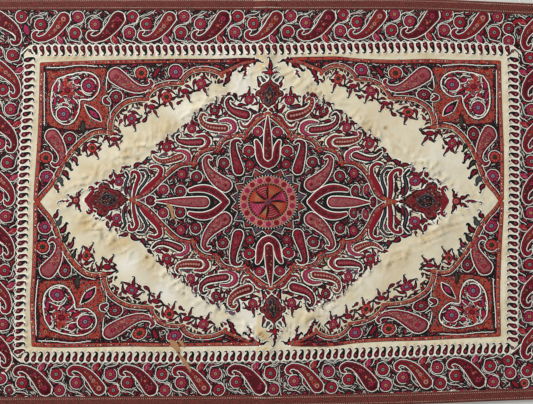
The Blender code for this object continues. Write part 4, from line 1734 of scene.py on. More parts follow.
def fold_height(x, y):
    height = np.zeros_like(x)
    for fold in FOLDS:
        run = np.array([fold.x1 - fold.x0, fold.y1 - fold.y0])
        length = np.hypot(*run)
        run = run / length
        ahead = (x - fold.x0) * run[0] + (y - fold.y0) * run[1]
        aside = np.abs((x - fold.x0) * run[1] - (y - fold.y0) * run[0])
        towards_end = np.maximum(np.abs(ahead - length / 2) - (length / 2 - END_FADE), 0.0)
        height += fold.height * fade(aside, fold.half_width) * fade(towards_end, END_FADE)
    return height


def ripple(x, y, seed, size, stretch=1.0, angle=0.0):
    """A smooth random rise and fall of about one, with waves of about the given size."""
    chance = np.random.default_rng(seed)
    along = (x * cos(angle) + y * sin(angle)) / stretch
    aside = -x * sin(angle) + y * cos(angle)
    total = np.zeros_like(x)
    for _ in range(14):
        turn = chance.uniform(0, 2 * pi)
        pitch = 2 * pi / (size * chance.uniform(0.7, 1.5))
        total += np.cos((along * cos(turn) + aside * sin(turn)) * pitch + chance.uniform(0, 2 * pi))
    return total / 14**0.5


def to_paper(x, y):
    return x / SQUARE + PAPER_MIDDLE[0], PAPER_MIDDLE[1] - y / SQUARE


def inside_feet(px, py):
    """How far a place lies inside the border's foot lines, and whether the nearest one lies across."""
    top, bottom, left, right = feet(px, py)
    ends = np.minimum(py - top, bottom - py)
    sides = np.minimum(px - left, right - px)
    return np.minimum(ends, sides), ends < sides


def strip_share(inside):
    """1 in the plain strip between the small figures and the frame, and 0 out of it."""
    return np.clip((inside - 9) / 3, 0, 1) * np.clip((14.3 - inside) / 2.3, 0, 1)


def field_share(px, py, inside):
    """1 over the plain ground between the medallion and the corner fields."""
    dx, dy = np.abs(px - MEDALLION[0]), np.abs(py - MEDALLION[1])
    outer = 1.06 - (dx / 222 + dy / 150)
    inner = dx / 150 + dy / 98 - 1.3
    return np.clip(outer * 9, 0, 1) * np.clip(inner * 9, 0, 1) * np.clip((inside - 20) / 4, 0, 1)


PUCKER_HEIGHT = 2.2 * MM
PUCKER_PITCH = 16 * MM
CREASE_HEIGHT = 4.2 * MM
Creases = namedtuple("Creases", "seed size stretch angle share")
CREASES = (
    Creases(11, 30 * MM, 3, 0.5, 1), Creases(12, 26 * MM, 3.4, -0.9, 0.8),
    Creases(13, 22 * MM, 2.6, 1.5, 0.8), Creases(14, 13 * MM, 4, 0.9, 0.35),
    Creases(15, 12 * MM, 4, -0.5, 0.35),
)


def cloth_height(x, y):
    """The height of the cloth's upper face, without its thickness."""
    unevenness = 0.25 * MM * (1 + ripple(x, y, 9, 60 * MM) * 0.5)
    return np.maximum(fold_height(x, y) + wrinkles(x, y)[0], 0) + unevenness


def wrinkles(x, y):
    """The small wrinkles' height, and how much painted shade each place gets in their hollows and on one side
    of their crests.
    """
    px, py = to_paper(x, y)
    inside, lies_across = inside_feet(px, py)
    strip = strip_share(inside)
    across = ripple(x, y * 0.22, 4, PUCKER_PITCH)
    down = ripple(x * 0.22, y, 5, PUCKER_PITCH)
    pucker = np.where(lies_across, across, down)
    height = PUCKER_HEIGHT * strip * (0.5 + 0.4 * pucker)
    # painted shade in the hollows of the puckers
    hollow_shade = strip * np.clip(-pucker - 0.1, 0, 1)
    plain = field_share(px, py, inside)
    for crease in CREASES:
        wave = ripple(x, y, crease.seed, crease.size, crease.stretch, crease.angle)
        strength = np.clip(ripple(x, y, crease.seed + 20, 160 * MM) + 0.6, 0, 1.2) * (plain + 0.4 * strip)
        crest = np.clip(1 - np.abs(wave) * 1.6, 0, 1) ** 1.5
        height = height + CREASE_HEIGHT * crease.share * strength * crest
        # painted shade on one side of each crease's crest
        hollow_shade = hollow_shade + 0.5 * strength * np.clip(1 - np.abs(wave - 0.55) * 3.0, 0, 1)
    return height, hollow_shade


FOLD_LINE = -27 * MM  # where the cloth was kept folded: a painted highlight before it, on the side of the fold towards the key light, and a band of painted shade just past it
# Stains and washed places: their middle, their radius and how deep their colour is, below 0 where whiter.
STAINS = (
    (85, 225, 9, 0.9), (130, 240, 8, 0.7), (225, 86, 8, 0.6), (262, 65, 8, 0.7), (92, 172, 8, 0.6),
    (340, 82, 8, 0.5), (382, 300, 9, 0.6), (116, 246, 10, 0.6), (149, 262, 9, 0.6), (400, 262, 13, 0.5),
    (424, 236, 10, 0.5), (386, 105, 22, 0.35), (222, 318, 14, 0.4), (265, 334, 8, 0.6),
    (128, 262, 12, -0.7), (165, 292, 14, -0.7), (440, 165, 24, -0.35), (360, 268, 18, -0.5),
    (330, 312, 12, -0.6), (240, 84, 14, -0.7), (180, 112, 12, -0.4), (138, 159, 1.9, 2), (147, 257, 1.9, 2),
    (385, 128, 1.9, 2),
)


def tone(x, y):
    """The cloth's tone: below 0 whiter, from washed places and the painted highlight beside the fold; up to 1
    yellowed, from stains and the painted shade past the fold and in the wrinkles' hollows; up to 2 brown, from
    small stains and the deepest painted shade.
    """
    px, py = to_paper(x, y)
    patchy = np.clip(0.6 + 0.5 * ripple(x, y, 15, 260 * MM), 0, 1)
    # painted shade in a band just past the fold line and painted highlight before it, both uneven along the
    # fold
    past = np.clip((x - FOLD_LINE) / (3 * MM), 0, 1)
    fold_shade = past * np.clip(1 - (x - FOLD_LINE) / (48 * MM), 0, 1) * patchy
    fold_highlight = 1.4 * (1 - past) * np.clip(1 - (FOLD_LINE - x) / (190 * MM), 0, 1) * patchy
    # together with the painted shade in the wrinkles' hollows
    changed = fold_shade - fold_highlight + 0.9 * wrinkles(x, y)[1]
    for stain_x, stain_y, radius, depth in STAINS:
        near = np.hypot(px - stain_x, py - stain_y) / radius
        changed = changed + depth * np.exp(-(near**2))
    return changed


def bending(at, places):
    """The thin-plate share of each place at each point, and the flat share beside it."""
    gap = np.hypot(at[:, None, 0] - places[None, :, 0], at[:, None, 1] - places[None, :, 1])
    bend = np.where(gap > 0, gap**2 * np.log(np.maximum(gap, 1e-9)), 0)
    return bend, np.column_stack([np.ones(len(at)), at])


def pull_solver():
    """The smooth give of the cloth between the pins, as thin-plate weights."""
    pins = np.array(PINS)
    places = pins[:, :2] / 100
    shift = pins[:, 2:] - pins[:, :2]
    bend, flat = bending(places, places)
    system = np.block([[bend + np.eye(len(pins)) * 1e-4, flat], [flat.T, np.zeros((3, 3))]])
    return places, np.linalg.solve(system, np.concatenate([shift, np.zeros((3, 2))]))


def pulled(paper, solver):
    """Places of the paper moved to where the pins pull them."""
    places, weights = solver
    bend, flat = bending(paper / 100, places)
    return paper + bend @ weights[: len(places)] + flat @ weights[len(places) :]


# ---------------------------------------------------------------- meshes


def make_mesh(name, places, faces, maps):
    """A mesh from arrays: its points, a list of face arrays, and its UV maps as a place for each point."""
    mesh = bpy.data.meshes.new(name)
    corners = np.concatenate([face.ravel() for face in faces]).astype(np.int32)
    totals = np.concatenate([np.full(len(face), face.shape[1]) for face in faces]).astype(np.int32)
    mesh.vertices.add(len(places))
    mesh.vertices.foreach_set("co", places.ravel().astype(np.float32))
    mesh.loops.add(len(corners))
    mesh.loops.foreach_set("vertex_index", corners)
    mesh.polygons.add(len(totals))
    mesh.polygons.foreach_set("loop_start", (np.cumsum(totals) - totals).astype(np.int32))
    mesh.polygons.foreach_set("loop_total", totals)
    mesh.update(calc_edges=True)
    for label, values in maps.items():
        layer = mesh.uv_layers.new(name=label, do_init=False)
        layer.data.foreach_set("uv", values[corners].astype(np.float32).ravel())
    mesh.validate()
    mesh.shade_smooth()
    piece = bpy.data.objects.new(name, mesh)
    bpy.context.collection.objects.link(piece)
    return piece


def facing_up(faces, places):
    """The faces with the ones that look down turned over."""
    a, b, c = (places[faces[:, n], :2] for n in (0, 1, 2))
    turn = (b[:, 0] - a[:, 0]) * (c[:, 1] - a[:, 1]) - (b[:, 1] - a[:, 1]) * (c[:, 0] - a[:, 0])
    if faces.shape[1] == 4:
        d = places[faces[:, 3], :2]
        turn = turn + (c[:, 0] - a[:, 0]) * (d[:, 1] - a[:, 1]) - (c[:, 1] - a[:, 1]) * (d[:, 0] - a[:, 0])
    faces = faces.copy()
    faces[turn < 0] = faces[turn < 0][:, ::-1]
    return faces


def plan_map(places):
    return places[:, :2] / (2.1 * HALF_LENGTH) + 0.5


BASKET = Basket()
COVERAGE = Coverage()
THREADS = (
    "cream", "black", "slate", "grey", "steel", "olive", "wine", "brown", "crimson", "red", "red_grey",
    "orange", "magenta", "rose", "pink", "tan",
)


STITCH_SPAN = 2.4 * MM  # a stitch bridges the wrinkles that are narrower than this to each side


def stitched_height(x, y):
    """The cloth's height below a stitch, which is the highest of the cloth close to it."""
    near = [(0, 0)] + [(dx, dy) for dx in (-STITCH_SPAN, STITCH_SPAN) for dy in (-STITCH_SPAN, STITCH_SPAN)]
    return np.maximum.reduce([cloth_height(x + dx, y + dy) for dx, dy in near])


def cloth_places(paper, height):
    """Places of the paper, with heights over the cloth, as places in space."""
    x = (paper[:, 0] - PAPER_MIDDLE[0]) * SQUARE
    y = (PAPER_MIDDLE[1] - paper[:, 1]) * SQUARE
    thickness = bpy.context.scene.cover_sizes.cloth_thickness
    return np.column_stack([x, y, stitched_height(x, y) + thickness + height])


def thread_piece(thread):
    """All the stitches of one thread as one mesh."""
    patches = [patch for patch in BASKET.patches if patch.thread == thread]
    if not patches:
        return None
    solver = pull_solver()
    paper = [pulled(patch.paper, solver) if patch.drawn_out else patch.paper for patch in patches]
    height = np.concatenate([patch.height for patch in patches])
    grain = np.concatenate([patch.grain for patch in patches]) * SQUARE
    offset, quads, tris = 0, [], []
    for patch in patches:
        if patch.quads is not None:
            quads.append(patch.quads + offset)
        if patch.tris is not None:
            tris.append(patch.tris + offset)
        offset += len(patch.paper)
    places = cloth_places(np.concatenate(paper), height)
    faces = [facing_up(np.concatenate(group), places) for group in (quads, tris) if group]
    piece = make_mesh(f"{thread}_thread", places, faces, {"stitch": grain, "OFBake": plan_map(places)})
    piece.data.materials.append(thread_material(thread))
    return piece


# ---------------------------------------------------------------- materials


def linear(code):
    """A hex sRGB colour as linear RGBA."""
    values = [int(code[n : n + 2], 16) / 255 for n in (0, 2, 4)]
    return tuple(v / 12.92 if v <= 0.04045 else ((v + 0.055) / 1.055) ** 2.4 for v in values) + (1.0,)


THREAD_COLOURS = {
    "cream": "FBF7EA", "black": "141112", "steel": "7D8894", "slate": "4C525D", "grey": "8C8C88",
    "olive": "3B3F33", "wine": "540E1A", "brown": "6B2A22", "crimson": "8C1329", "red": "A21C2B",
    "red_grey": "863E3A", "orange": "B43E2D", "magenta": "A62852", "rose": "9C4F55", "pink": "C08276",
    "tan": "B88A62", "tape_cream": "E4DAC4",
}


def node(tree, kind, links, **settings):
    """Adds a node with its settings, and links each of its inputs to an output or sets its value."""
    made = tree.nodes.new(kind)
    for name, value in settings.items():
        setattr(made, name, value)
    for key, source in links.items():
        if isinstance(source, bpy.types.NodeSocket):
            tree.links.new(source, made.inputs[key])
        else:
            made.inputs[key].default_value = source
    return made


def dressed(tree, surface, colour, relief, strength, depth, roughness, shine):
    """Gives a surface its colour, its relief, its roughness and its shine."""
    bump = node(tree, "ShaderNodeBump", {"Height": relief, "Strength": strength, "Distance": depth})
    tree.links.new(colour, surface.inputs["Base Color"])
    tree.links.new(bump.outputs["Normal"], surface.inputs["Normal"])
    surface.inputs["Roughness"].default_value = roughness
    surface.inputs["Specular IOR Level"].default_value = shine


def new_material(name):
    material = bpy.data.materials.new(name)
    material.use_nodes = True
    tree = material.node_tree
    return material, tree, tree.nodes["Principled BSDF"]


WAVE_PER_UNIT = 20  # a wave texture's own turns
THREAD_SPACING = 0.55 * MM  # a floss strand, drawn a little coarse so that it shows


def thread_material(thread):
    """Silk and cotton floss: soft satin stitches of strands side by side, a little faded in places."""
    material, tree, surface = new_material(f"{thread} floss")
    colour = linear(THREAD_COLOURS[thread])
    faded = tuple(c * 1.12 + 0.006 for c in colour[:3]) + (1.0,)
    shade = 0.82 if thread == "cream" else 0.62
    deep = tuple(c * shade for c in colour[:3]) + (1.0,)
    where = node(tree, "ShaderNodeTexCoord", {}).outputs["Object"]
    large = node(tree, "ShaderNodeTexNoise", {"Vector": where, "Scale": 9.0, "Detail": 3.0}).outputs["Fac"]
    worn = node(tree, "ShaderNodeMapRange", {0: large, 1: 0.35, 2: 0.75, 4: 0.8}).outputs[0]
    mixed = node(tree, "ShaderNodeMix", {0: worn, 6: colour, 7: faded}, data_type="RGBA").outputs[2]
    fine = node(tree, "ShaderNodeTexNoise", {"Vector": where, "Scale": 420.0, "Detail": 2.0}).outputs["Fac"]
    strands = node(tree, "ShaderNodeMapRange", {0: fine, 1: 0.38, 2: 0.62, 4: 0.55}).outputs[0]
    mixed = node(tree, "ShaderNodeMix", {0: strands, 6: mixed, 7: deep}, data_type="RGBA").outputs[2]
    stitch = node(tree, "ShaderNodeUVMap", {}, uv_map="stitch").outputs["UV"]
    turns = 2 * pi / (THREAD_SPACING * WAVE_PER_UNIT)
    links = {"Vector": stitch, "Scale": turns, "Distortion": 1.2, "Detail": 1.0}
    wave = node(tree, "ShaderNodeTexWave", links, wave_type="BANDS", bands_direction="X")
    dressed(tree, surface, mixed, wave.outputs["Fac"], 0.5, 0.18 * MM, 0.62, 0.14)
    return material


COTTON = "E5DCC2"
# Its uneven ageing: the scale and roughness of the patches, where they start and end, how deep, and the colour.
AGEING = ((9.0, 0.62, 0.5, 0.66, 0.9, "D3C09A"), (45.0, 0.6, 0.48, 0.68, 0.8, "E0D2AC"))
# How the cloth's tone shows, each from one value to another: whiter for washed places and the painted highlight
# beside the fold, yellowed for stains and the painted shade past the fold and in the wrinkles' hollows, and
# brown for small stains and the deepest painted shade.
TONES = ((0, -1, 0.85, "F6F5F0"), (0, 1, 0.85, "CDB07C"), (1, 2, 0.9, "6E4A2C"))
TAPE_BROWN = "5A3028"
TAPE_RED = "943A34"
TAPE_OLIVE = "2E2A24"
ZIGZAG_PITCH = 4.5 * MM
WEAVE_PITCH = 0.9 * MM  # threads of a plain cotton weave, drawn coarser than life so that they show


def cotton_material():
    """Plain-woven cotton, washed soft and yellowed unevenly with age, with the painted highlight and shade of
    its fold and wrinkles.
    """
    material, tree, surface = new_material("aged cotton")
    where = node(tree, "ShaderNodeTexCoord", {}).outputs["Object"]
    # The tone holds stains and washed places, and the painted highlight and shade of the fold and wrinkles.
    changed = node(tree, "ShaderNodeAttribute", {}, attribute_name="tone").outputs["Fac"]
    layers = []
    for scale, roughness, low, high, most, shade in AGEING:
        links = {"Vector": where, "Scale": scale, "Detail": 5.0, "Roughness": roughness}
        patches = node(tree, "ShaderNodeTexNoise", links).outputs["Fac"]
        layers.append((patches, low, high, most, shade))
    layers += [(changed, *tone) for tone in TONES]
    colour = linear(COTTON)
    for value, low, high, most, shade in layers:
        share = node(tree, "ShaderNodeMapRange", {0: value, 1: low, 2: high, 4: most}).outputs[0]
        links = {0: share, 6: colour, 7: linear(shade)}
        colour = node(tree, "ShaderNodeMix", links, data_type="RGBA").outputs[2]
    split = node(tree, "ShaderNodeSeparateXYZ", {0: where})
    waves = []
    for axis in "XY":
        links = {0: split.outputs[axis], 1: 2 * pi / WEAVE_PITCH}
        turn = node(tree, "ShaderNodeMath", links, operation="MULTIPLY").outputs[0]
        waves.append(node(tree, "ShaderNodeMath", {0: turn}, operation="SINE").outputs[0])
    weave = node(tree, "ShaderNodeMath", dict(enumerate(waves)), operation="MULTIPLY").outputs[0]
    dressed(tree, surface, colour, weave, 0.25, 0.12 * MM, 0.85, 0.25)
    surface.inputs["Sheen Weight"].default_value = 0.08
    return material


def tape_material():
    """Narrow woven tape: brown-red cotton with a small zigzag of olive and red in its weave."""
    material, tree, surface = new_material("woven tape")
    uv = node(tree, "ShaderNodeUVMap", {}, uv_map="stitch").outputs["UV"]
    split = node(tree, "ShaderNodeSeparateXYZ", {0: uv})
    links = {0: split.outputs["X"], 1: 4 * MM}
    zigzag = node(tree, "ShaderNodeMath", links, operation="PINGPONG").outputs[0]
    slant = node(tree, "ShaderNodeMath", {0: zigzag, 1: split.outputs["Y"]}, operation="ADD").outputs[0]
    links = {0: slant, 1: 2 * pi / ZIGZAG_PITCH}
    turn = node(tree, "ShaderNodeMath", links, operation="MULTIPLY").outputs[0]
    wave = node(tree, "ShaderNodeMath", {0: turn}, operation="SINE").outputs[0]
    share = node(tree, "ShaderNodeMapRange", {0: wave, 1: -0.2, 2: 0.6}).outputs[0]
    links = {0: share, 6: linear(TAPE_BROWN), 7: linear(TAPE_RED)}
    colour = node(tree, "ShaderNodeMix", links, data_type="RGBA").outputs[2]
    where = node(tree, "ShaderNodeTexCoord", {}).outputs["Object"]
    fine = node(tree, "ShaderNodeTexNoise", {"Vector": where, "Scale": 300.0, "Detail": 2.0}).outputs["Fac"]
    share = node(tree, "ShaderNodeMapRange", {0: fine, 1: 0.5, 2: 0.62}).outputs[0]
    links = {0: share, 6: colour, 7: linear(TAPE_OLIVE)}
    colour = node(tree, "ShaderNodeMix", links, data_type="RGBA").outputs[2]
    dressed(tree, surface, colour, wave, 0.4, 0.2 * MM, 0.8, 0.25)
    return material


# ---------------------------------------------------------------- properties and operators


class CoverSizes(PropertyGroup):
    cloth_thickness: FloatProperty(
        name="Cloth thickness", description="Thickness of the lined panel", default=2.0 * MM, unit="LENGTH"
    )
    tape_thickness: FloatProperty(
        name="Tape thickness", description="Thickness of the woven tape", default=1.2 * MM, unit="LENGTH"
    )
    tape_width: FloatProperty(
        name="Tape width", description="Width of the woven tape", default=29.0 * MM, unit="LENGTH"
    )
    mesh_step: FloatProperty(
        name="Cloth mesh step", description="Size of one face of the cloth", default=4.3 * MM, unit="LENGTH"
    )


class CoverColours(PropertyGroup):
    floor: FloatVectorProperty(
        name="Floor", description="Colour of the floor", default=linear("D9D7D2"), size=4, subtype="COLOR"
    )


def grid_faces(columns, rows):
    """The four-sided faces of a grid of points, and the points of its rim in order."""
    index = np.arange(columns * rows).reshape(columns, rows)
    corners = [index[:-1, :-1], index[1:, :-1], index[1:, 1:], index[:-1, 1:]]
    rim = np.concatenate([index[:-1, 0], index[-1, :-1], index[:0:-1, -1], index[0, :0:-1]])
    return np.stack(corners, axis=-1).reshape(-1, 4), rim


HEM_DEPTH = 0.3 * MM  # how far the hem reaches below the lining's edge


class COVER_OT_lay_cloth(Operator):
    """Lays the cotton panel with its folds and puckers"""

    bl_idname = "cover.lay_cloth"
    bl_label = "Lay the cloth"

    def execute(self, context):
        sizes = context.scene.cover_sizes
        columns = int(2 * HALF_LENGTH / sizes.mesh_step) + 1
        rows = int(2 * HALF_WIDTH / sizes.mesh_step) + 1
        u, v = np.meshgrid(np.linspace(0, 1, columns), np.linspace(0, 1, rows), indexing="ij")
        x, y = plan_point(u.ravel(), v.ravel())
        top = np.column_stack([x, y, cloth_height(x, y) + sizes.cloth_thickness])
        quads, rim = grid_faces(columns, rows)
        low = top[rim].copy()
        low[:, 2] -= sizes.cloth_thickness
        low[:, 2] = np.maximum(low[:, 2] - HEM_DEPTH, 0.0)
        here = np.arange(len(rim))
        after = np.roll(here, -1)
        count = len(top)
        skirt = np.stack([rim, here + count, after + count, np.roll(rim, -1)], axis=1)
        u, v = np.meshgrid(np.linspace(0.03, 0.97, 48), np.linspace(0.04, 0.96, 34), indexing="ij")
        within = np.column_stack(plan_point(u.ravel(), v.ravel()))
        points = [Vector(place) for place in np.concatenate([low[:, :2], within])]
        edges = [(int(n), int(m)) for n, m in zip(here, after)]
        found = delaunay_2d_cdt(points, edges, [], 1, 1e-7)
        flat = np.array([tuple(place) for place in found[0]])
        if len(flat) != len(points):
            raise RuntimeError("the lining's points changed")
        under = np.column_stack([flat, fold_height(flat[:, 0], flat[:, 1])])
        under[: len(low), 2] = low[:, 2]
        tris = np.array([face[::-1] for face in found[2]]) + count
        places = np.concatenate([top, under])
        faces = [np.concatenate([quads, skirt]), facing_up(tris, places)[:, ::-1]]
        piece = make_mesh("ground_cloth_panel", places, faces, {"OFBake": plan_map(places)})
        # Each point's tone: its stains, and the painted highlight and shade of the fold and wrinkles.
        changed = piece.data.attributes.new("tone", "FLOAT", "POINT")
        changed.data.foreach_set("value", tone(places[:, 0], places[:, 1]).astype(np.float32))
        piece.data.materials.append(cotton_material())
        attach(piece, "root")
        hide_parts("ground_cloth")
        return {"FINISHED"}


LYING = ("top", "bottom")  # the tapes that lie along the length
TAPE_MESH_STEP = 4.5 * MM
TAPE_LIFT = 0.3 * MM  # the gap that stands in for the seam
DASH_PITCH = 5.2 * MM


class COVER_OT_sew_tapes(Operator):
    """Sews the woven tape along the four edges"""

    bl_idname = "cover.sew_tapes"
    bl_label = "Sew the tapes"

    def execute(self, context):
        sizes = context.scene.cover_sizes
        material = tape_material()
        for side in ("top", "bottom", "left", "right"):
            piece = self.tape(side, sizes)
            piece.data.materials.append(material)
            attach(piece, "root")
            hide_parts(f"edge_tape_{side}")
        return {"FINISHED"}

    def place(self, side, run, depth):
        """The place on the plan at a share along a side and a depth in from its edge."""
        inward = depth if side in ("bottom", "left") else 1 - depth
        u, v = (run, inward) if side in LYING else (inward, run)
        return plan_point(u, v)

    def tape(self, side, sizes):
        across = np.array([0.0, 0.03, 0.25, 0.5, 0.75, 0.97, 1.0])
        length, other = (HALF_LENGTH, HALF_WIDTH) if side in LYING else (HALF_WIDTH, HALF_LENGTH)
        length = 2 * length
        depth = sizes.tape_width / (2 * other)
        mitre = sizes.tape_width / length
        steps = int(length / TAPE_MESH_STEP)
        s, c = (part.ravel() for part in np.meshgrid(np.linspace(0, 1, steps + 1), across, indexing="ij"))
        run = mitre * c + (1 - 2 * mitre * c) * s
        x, y = self.place(side, run, depth * c)
        base = cloth_height(x, y) + sizes.cloth_thickness
        edge = (c == 0) | (c == 1)
        top = base + np.where(edge, 0.55, 1.0) * sizes.tape_thickness + TAPE_LIFT
        places = np.concatenate([np.column_stack([x, y, top]), np.column_stack([x, y, base + SINK])])
        quads, rim = grid_faces(steps + 1, len(across))
        count = len(x)
        walls = np.stack([rim, rim + count, np.roll(rim, -1) + count, np.roll(rim, -1)], axis=1)
        up = facing_up(quads, places)
        if not np.array_equal(up[0], quads[0]):
            walls = walls[:, ::-1]
        faces = [np.concatenate([up, (up + count)[:, ::-1], walls])]
        grain = np.tile(np.column_stack([run * length, c * sizes.tape_width]), (2, 1))
        self.dashes(side, depth, length, mitre)
        return make_mesh(f"woven_tape_{side}", places, faces, {"stitch": grain, "OFBake": plan_map(places)})

    def dashes(self, side, depth, length, ends):
        """The light dashed line near each side of the tape."""
        count = int(length / DASH_PITCH)
        places = (np.arange(count) + 0.5) / count
        places = places[(places > ends) & (places < 1 - ends)]
        angle = 0.0 if side in LYING else pi / 2
        for share in (0.2, 0.8):
            for x, y in zip(*to_paper(*self.place(side, places, depth * share))):
                BASKET.fleck("tape_cream", x, y, angle, 1.9, 1.0, 7)


# Worn places darned over in tan thread, in squares of the cloth: three at the bottom, one in the medallion.
DARNS = (
    ((170.6, 340.6, 1.4), (174.4, 344.2, 3.2), (177.4, 349.4, 2), (177.6, 352, 0.8)),
    ((178, 340.4, 0.8), (181.4, 342.2, 1.6), (184, 346.4, 0.8)),
    ((178.6, 354, 1), (182.2, 358.2, 1.8), (186.6, 364, 1.9), (190.6, 370.4, 0.9)),
    ((167.8, 204.6, 1.3), (171.4, 208.6, 2.1), (172.2, 213.4, 1.4), (173.4, 217.4, 1.7)),
)


class COVER_OT_stitch_border(Operator):
    """Stitches the border's large figures, its flowers and the row of small hooked figures"""

    bl_idname = "cover.stitch_border"
    bl_label = "Stitch the border"

    def execute(self, context):
        for number, (name, first, heads) in enumerate(BORDER_FIGURES):
            side = Side(name)
            for n, at in enumerate(heads):
                jewelled = (first == "jewelled") == (n % 2 == 0)
                border_figure(BASKET, side, at, jewelled, 100 * number + n)
                border_flowers(BASKET, side, at, jewelled == (name in ("top", "left")))
        border_corners(BASKET)
        for name, start, end in TOOTH_ROWS:
            border_teeth(BASKET, Side(name), start, end)
        for corner in INNER_CORNERS:
            corner_tooth(BASKET, *corner)
        COVERAGE.stamp_all(np.concatenate(BASKET.solid_marks))
        for outline in border_outlines():
            BASKET.ground("black", outline)
        scroll_filling(BASKET, border_region(COVERAGE), COVERAGE, 71, DARK_GROUND)
        for spine in DARNS:
            BASKET.body("tan", spine, 11)
        BASKET.solid_marks.clear()
        BASKET.drawn_out = True
        return {"FINISHED"}


class COVER_OT_stitch_corners(Operator):
    """Stitches the four corner fields and the sprays along their edges"""

    bl_idname = "cover.stitch_corners"
    bl_label = "Stitch the corner fields"

    def execute(self, context):
        start = BASKET.mark()
        corner_field(BASKET)
        BASKET.turned_over(start, across=True, down=True)
        for swapped, turns in ((False, ALL_QUARTERS[:1] + ALL_QUARTERS[2:]), (True, ALL_QUARTERS[1:2])):
            part = Basket()
            edge_sprays(part, swapped)
            BASKET.take(part.patches, part.solid_marks, turns)
        return {"FINISHED"}


class COVER_OT_stitch_medallion(Operator):
    """Stitches the medallion, its centre wheel, its fringe and the palmettes at its tips"""

    bl_idname = "cover.stitch_medallion"
    bl_label = "Stitch the medallion"

    def execute(self, context):
        star_ring(BASKET)
        centre_wheel(BASKET)
        start = BASKET.mark()
        medallion_quarter(BASKET)
        BASKET.turned_over(start, across=True, down=True)
        for swapped, turns in ((False, ALL_QUARTERS[::3]), (True, ALL_QUARTERS[1:3])):
            part = Basket()
            fringe_quarter(part, swapped)
            BASKET.take(part.patches, part.solid_marks, turns)
        axis_petals(BASKET)
        palmette_pairs(BASKET)
        return {"FINISHED"}


class COVER_OT_stitch_filling(Operator):
    """Fills the ground between the figures with stems and leaves"""

    bl_idname = "cover.stitch_filling"
    bl_label = "Stitch the filling"

    def execute(self, context):
        COVERAGE.taken[:] = False
        COVERAGE.stamp_all(np.concatenate(BASKET.solid_marks))
        outlines = (corner_outline, cartouche_outline, medallion_outline, fringe_outline, heart_outline)
        corner, cartouche, medallion, fringe, heart = (COVERAGE.region(outline()) for outline in outlines)
        scroll_filling(BASKET, corner & ~cartouche, COVERAGE, 72, DARK_GROUND)
        scroll_filling(BASKET, heart, COVERAGE, 75, DARK_GROUND, seat=4)
        scroll_filling(BASKET, medallion, COVERAGE, 73, DARK_GROUND)
        start = BASKET.mark()
        edge_leaves(BASKET, SCALLOP[1:4] + (SCALLOP[4][:-2],), 3.1, True, 81)
        edge_leaves(BASKET, LOBES, 3.0, False, 82)
        BASKET.turned_over(start, across=True, down=True)
        COVERAGE.stamp_all(np.concatenate(BASKET.solid_marks[start[1] :]))
        light = ~medallion & ~corner
        scroll_filling(BASKET, (fringe | near_fringe()) & light, COVERAGE, 74, LIGHT_GROUND)
        scroll_filling(BASKET, near_scallops() & light, COVERAGE, 76, LIGHT_GROUND)
        return {"FINISHED"}


EDGING_REACH = 9.5  # squares from a corner field's scallops
SPRAY_REACH = 5.0  # squares past a spray's flower


def near_scallops():
    """The cells close to the corner fields' scallops and round the flowers of their sprays."""
    line = joined(SCALLOP[1:], 2.0)[:-14]
    flowers = [(x, y, radius + SPRAY_REACH) for x, y, radius, _, _ in SPRAYS]
    return near_marks([np.column_stack([line, np.full(len(line), EDGING_REACH)]), flowers])


FRINGE_REACH = 5.5
PALMETTE_REACH = 5.5


def near_fringe():
    """The cells close to the fringe's figures and flowers and round the palmettes."""
    marks = [[(x, y, radius + SPRAY_REACH) for x, y, radius, _, _ in FRINGE_FLOWERS]]
    for _, spine in FRINGE_FIGURES + FRINGE_SWEEPS + TENDRILS:
        marks.append(smooth_rows(spine, 2.0) + (0, 0, FRINGE_REACH))
    for outline in (TOP_PALMETTE[3:], SIDE_PALMETTE[:-3]):
        line = np.array(outline)
        marks.append(np.column_stack([line, np.full(len(line), PALMETTE_REACH)]))
    return near_marks(marks)


def near_marks(marks):
    """The cells within the marks' circles, in all four quarters."""
    near = Coverage()
    marks = np.concatenate([np.array(group, float) for group in marks])
    for turn in ALL_QUARTERS:
        near.stamp_all(np.column_stack([turned(marks[:, :2], *turn), marks[:, 2]]))
    return near.taken


def border_outlines():
    """The four mitred parts of the band between the tape and the foot line."""
    spans = (
        ("top", 24.0, 518.0, 24.0 - BAND, 518.0 + BAND),
        ("bottom", 15.0, 518.0, 15.0 - BAND, 518.0 + BAND),
        ("left", -45.0, -361.0, -45.0 + BAND, -361.0 - BAND),
        ("right", -45.0, -354.0, -45.0 + BAND, -354.0 - BAND),
    )
    outlines = []
    for name, inner_start, inner_end, outer_start, outer_end in spans:
        side = Side(name)
        inner = np.column_stack(side.place(np.linspace(inner_start, inner_end, 80), BAND))
        outer = np.column_stack(side.place(np.linspace(outer_end, outer_start, 80), -1.5))
        outlines.append(np.concatenate([inner, outer]))
    return outlines


BORDER_GAP = 0.8  # squares from the foot line to the filling


def border_region(coverage):
    """The cells of the border, between the foot lines and the tapes."""
    xs, ys = np.meshgrid(coverage.xs, coverage.ys)
    top, bottom, left, right = feet(xs, ys)
    outside = (ys < top - BORDER_GAP) | (ys > bottom + BORDER_GAP)
    outside |= (xs < left - BORDER_GAP) | (xs > right + BORDER_GAP)
    within = (ys > top - BAND - 2) & (ys < bottom + BAND + 2)
    within &= (xs > left - BAND - 2) & (xs < right + BAND + 2)
    return outside & within


class COVER_OT_fasten_threads(Operator):
    """Turns the stitches of each thread into one piece on the cloth"""

    bl_idname = "cover.fasten_threads"
    bl_label = "Fasten the threads"

    def execute(self, context):
        for thread in THREADS + ("tape_cream",):
            piece = thread_piece(thread)
            if piece is None:
                continue
            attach(piece, "root")
        return {"FINISHED"}


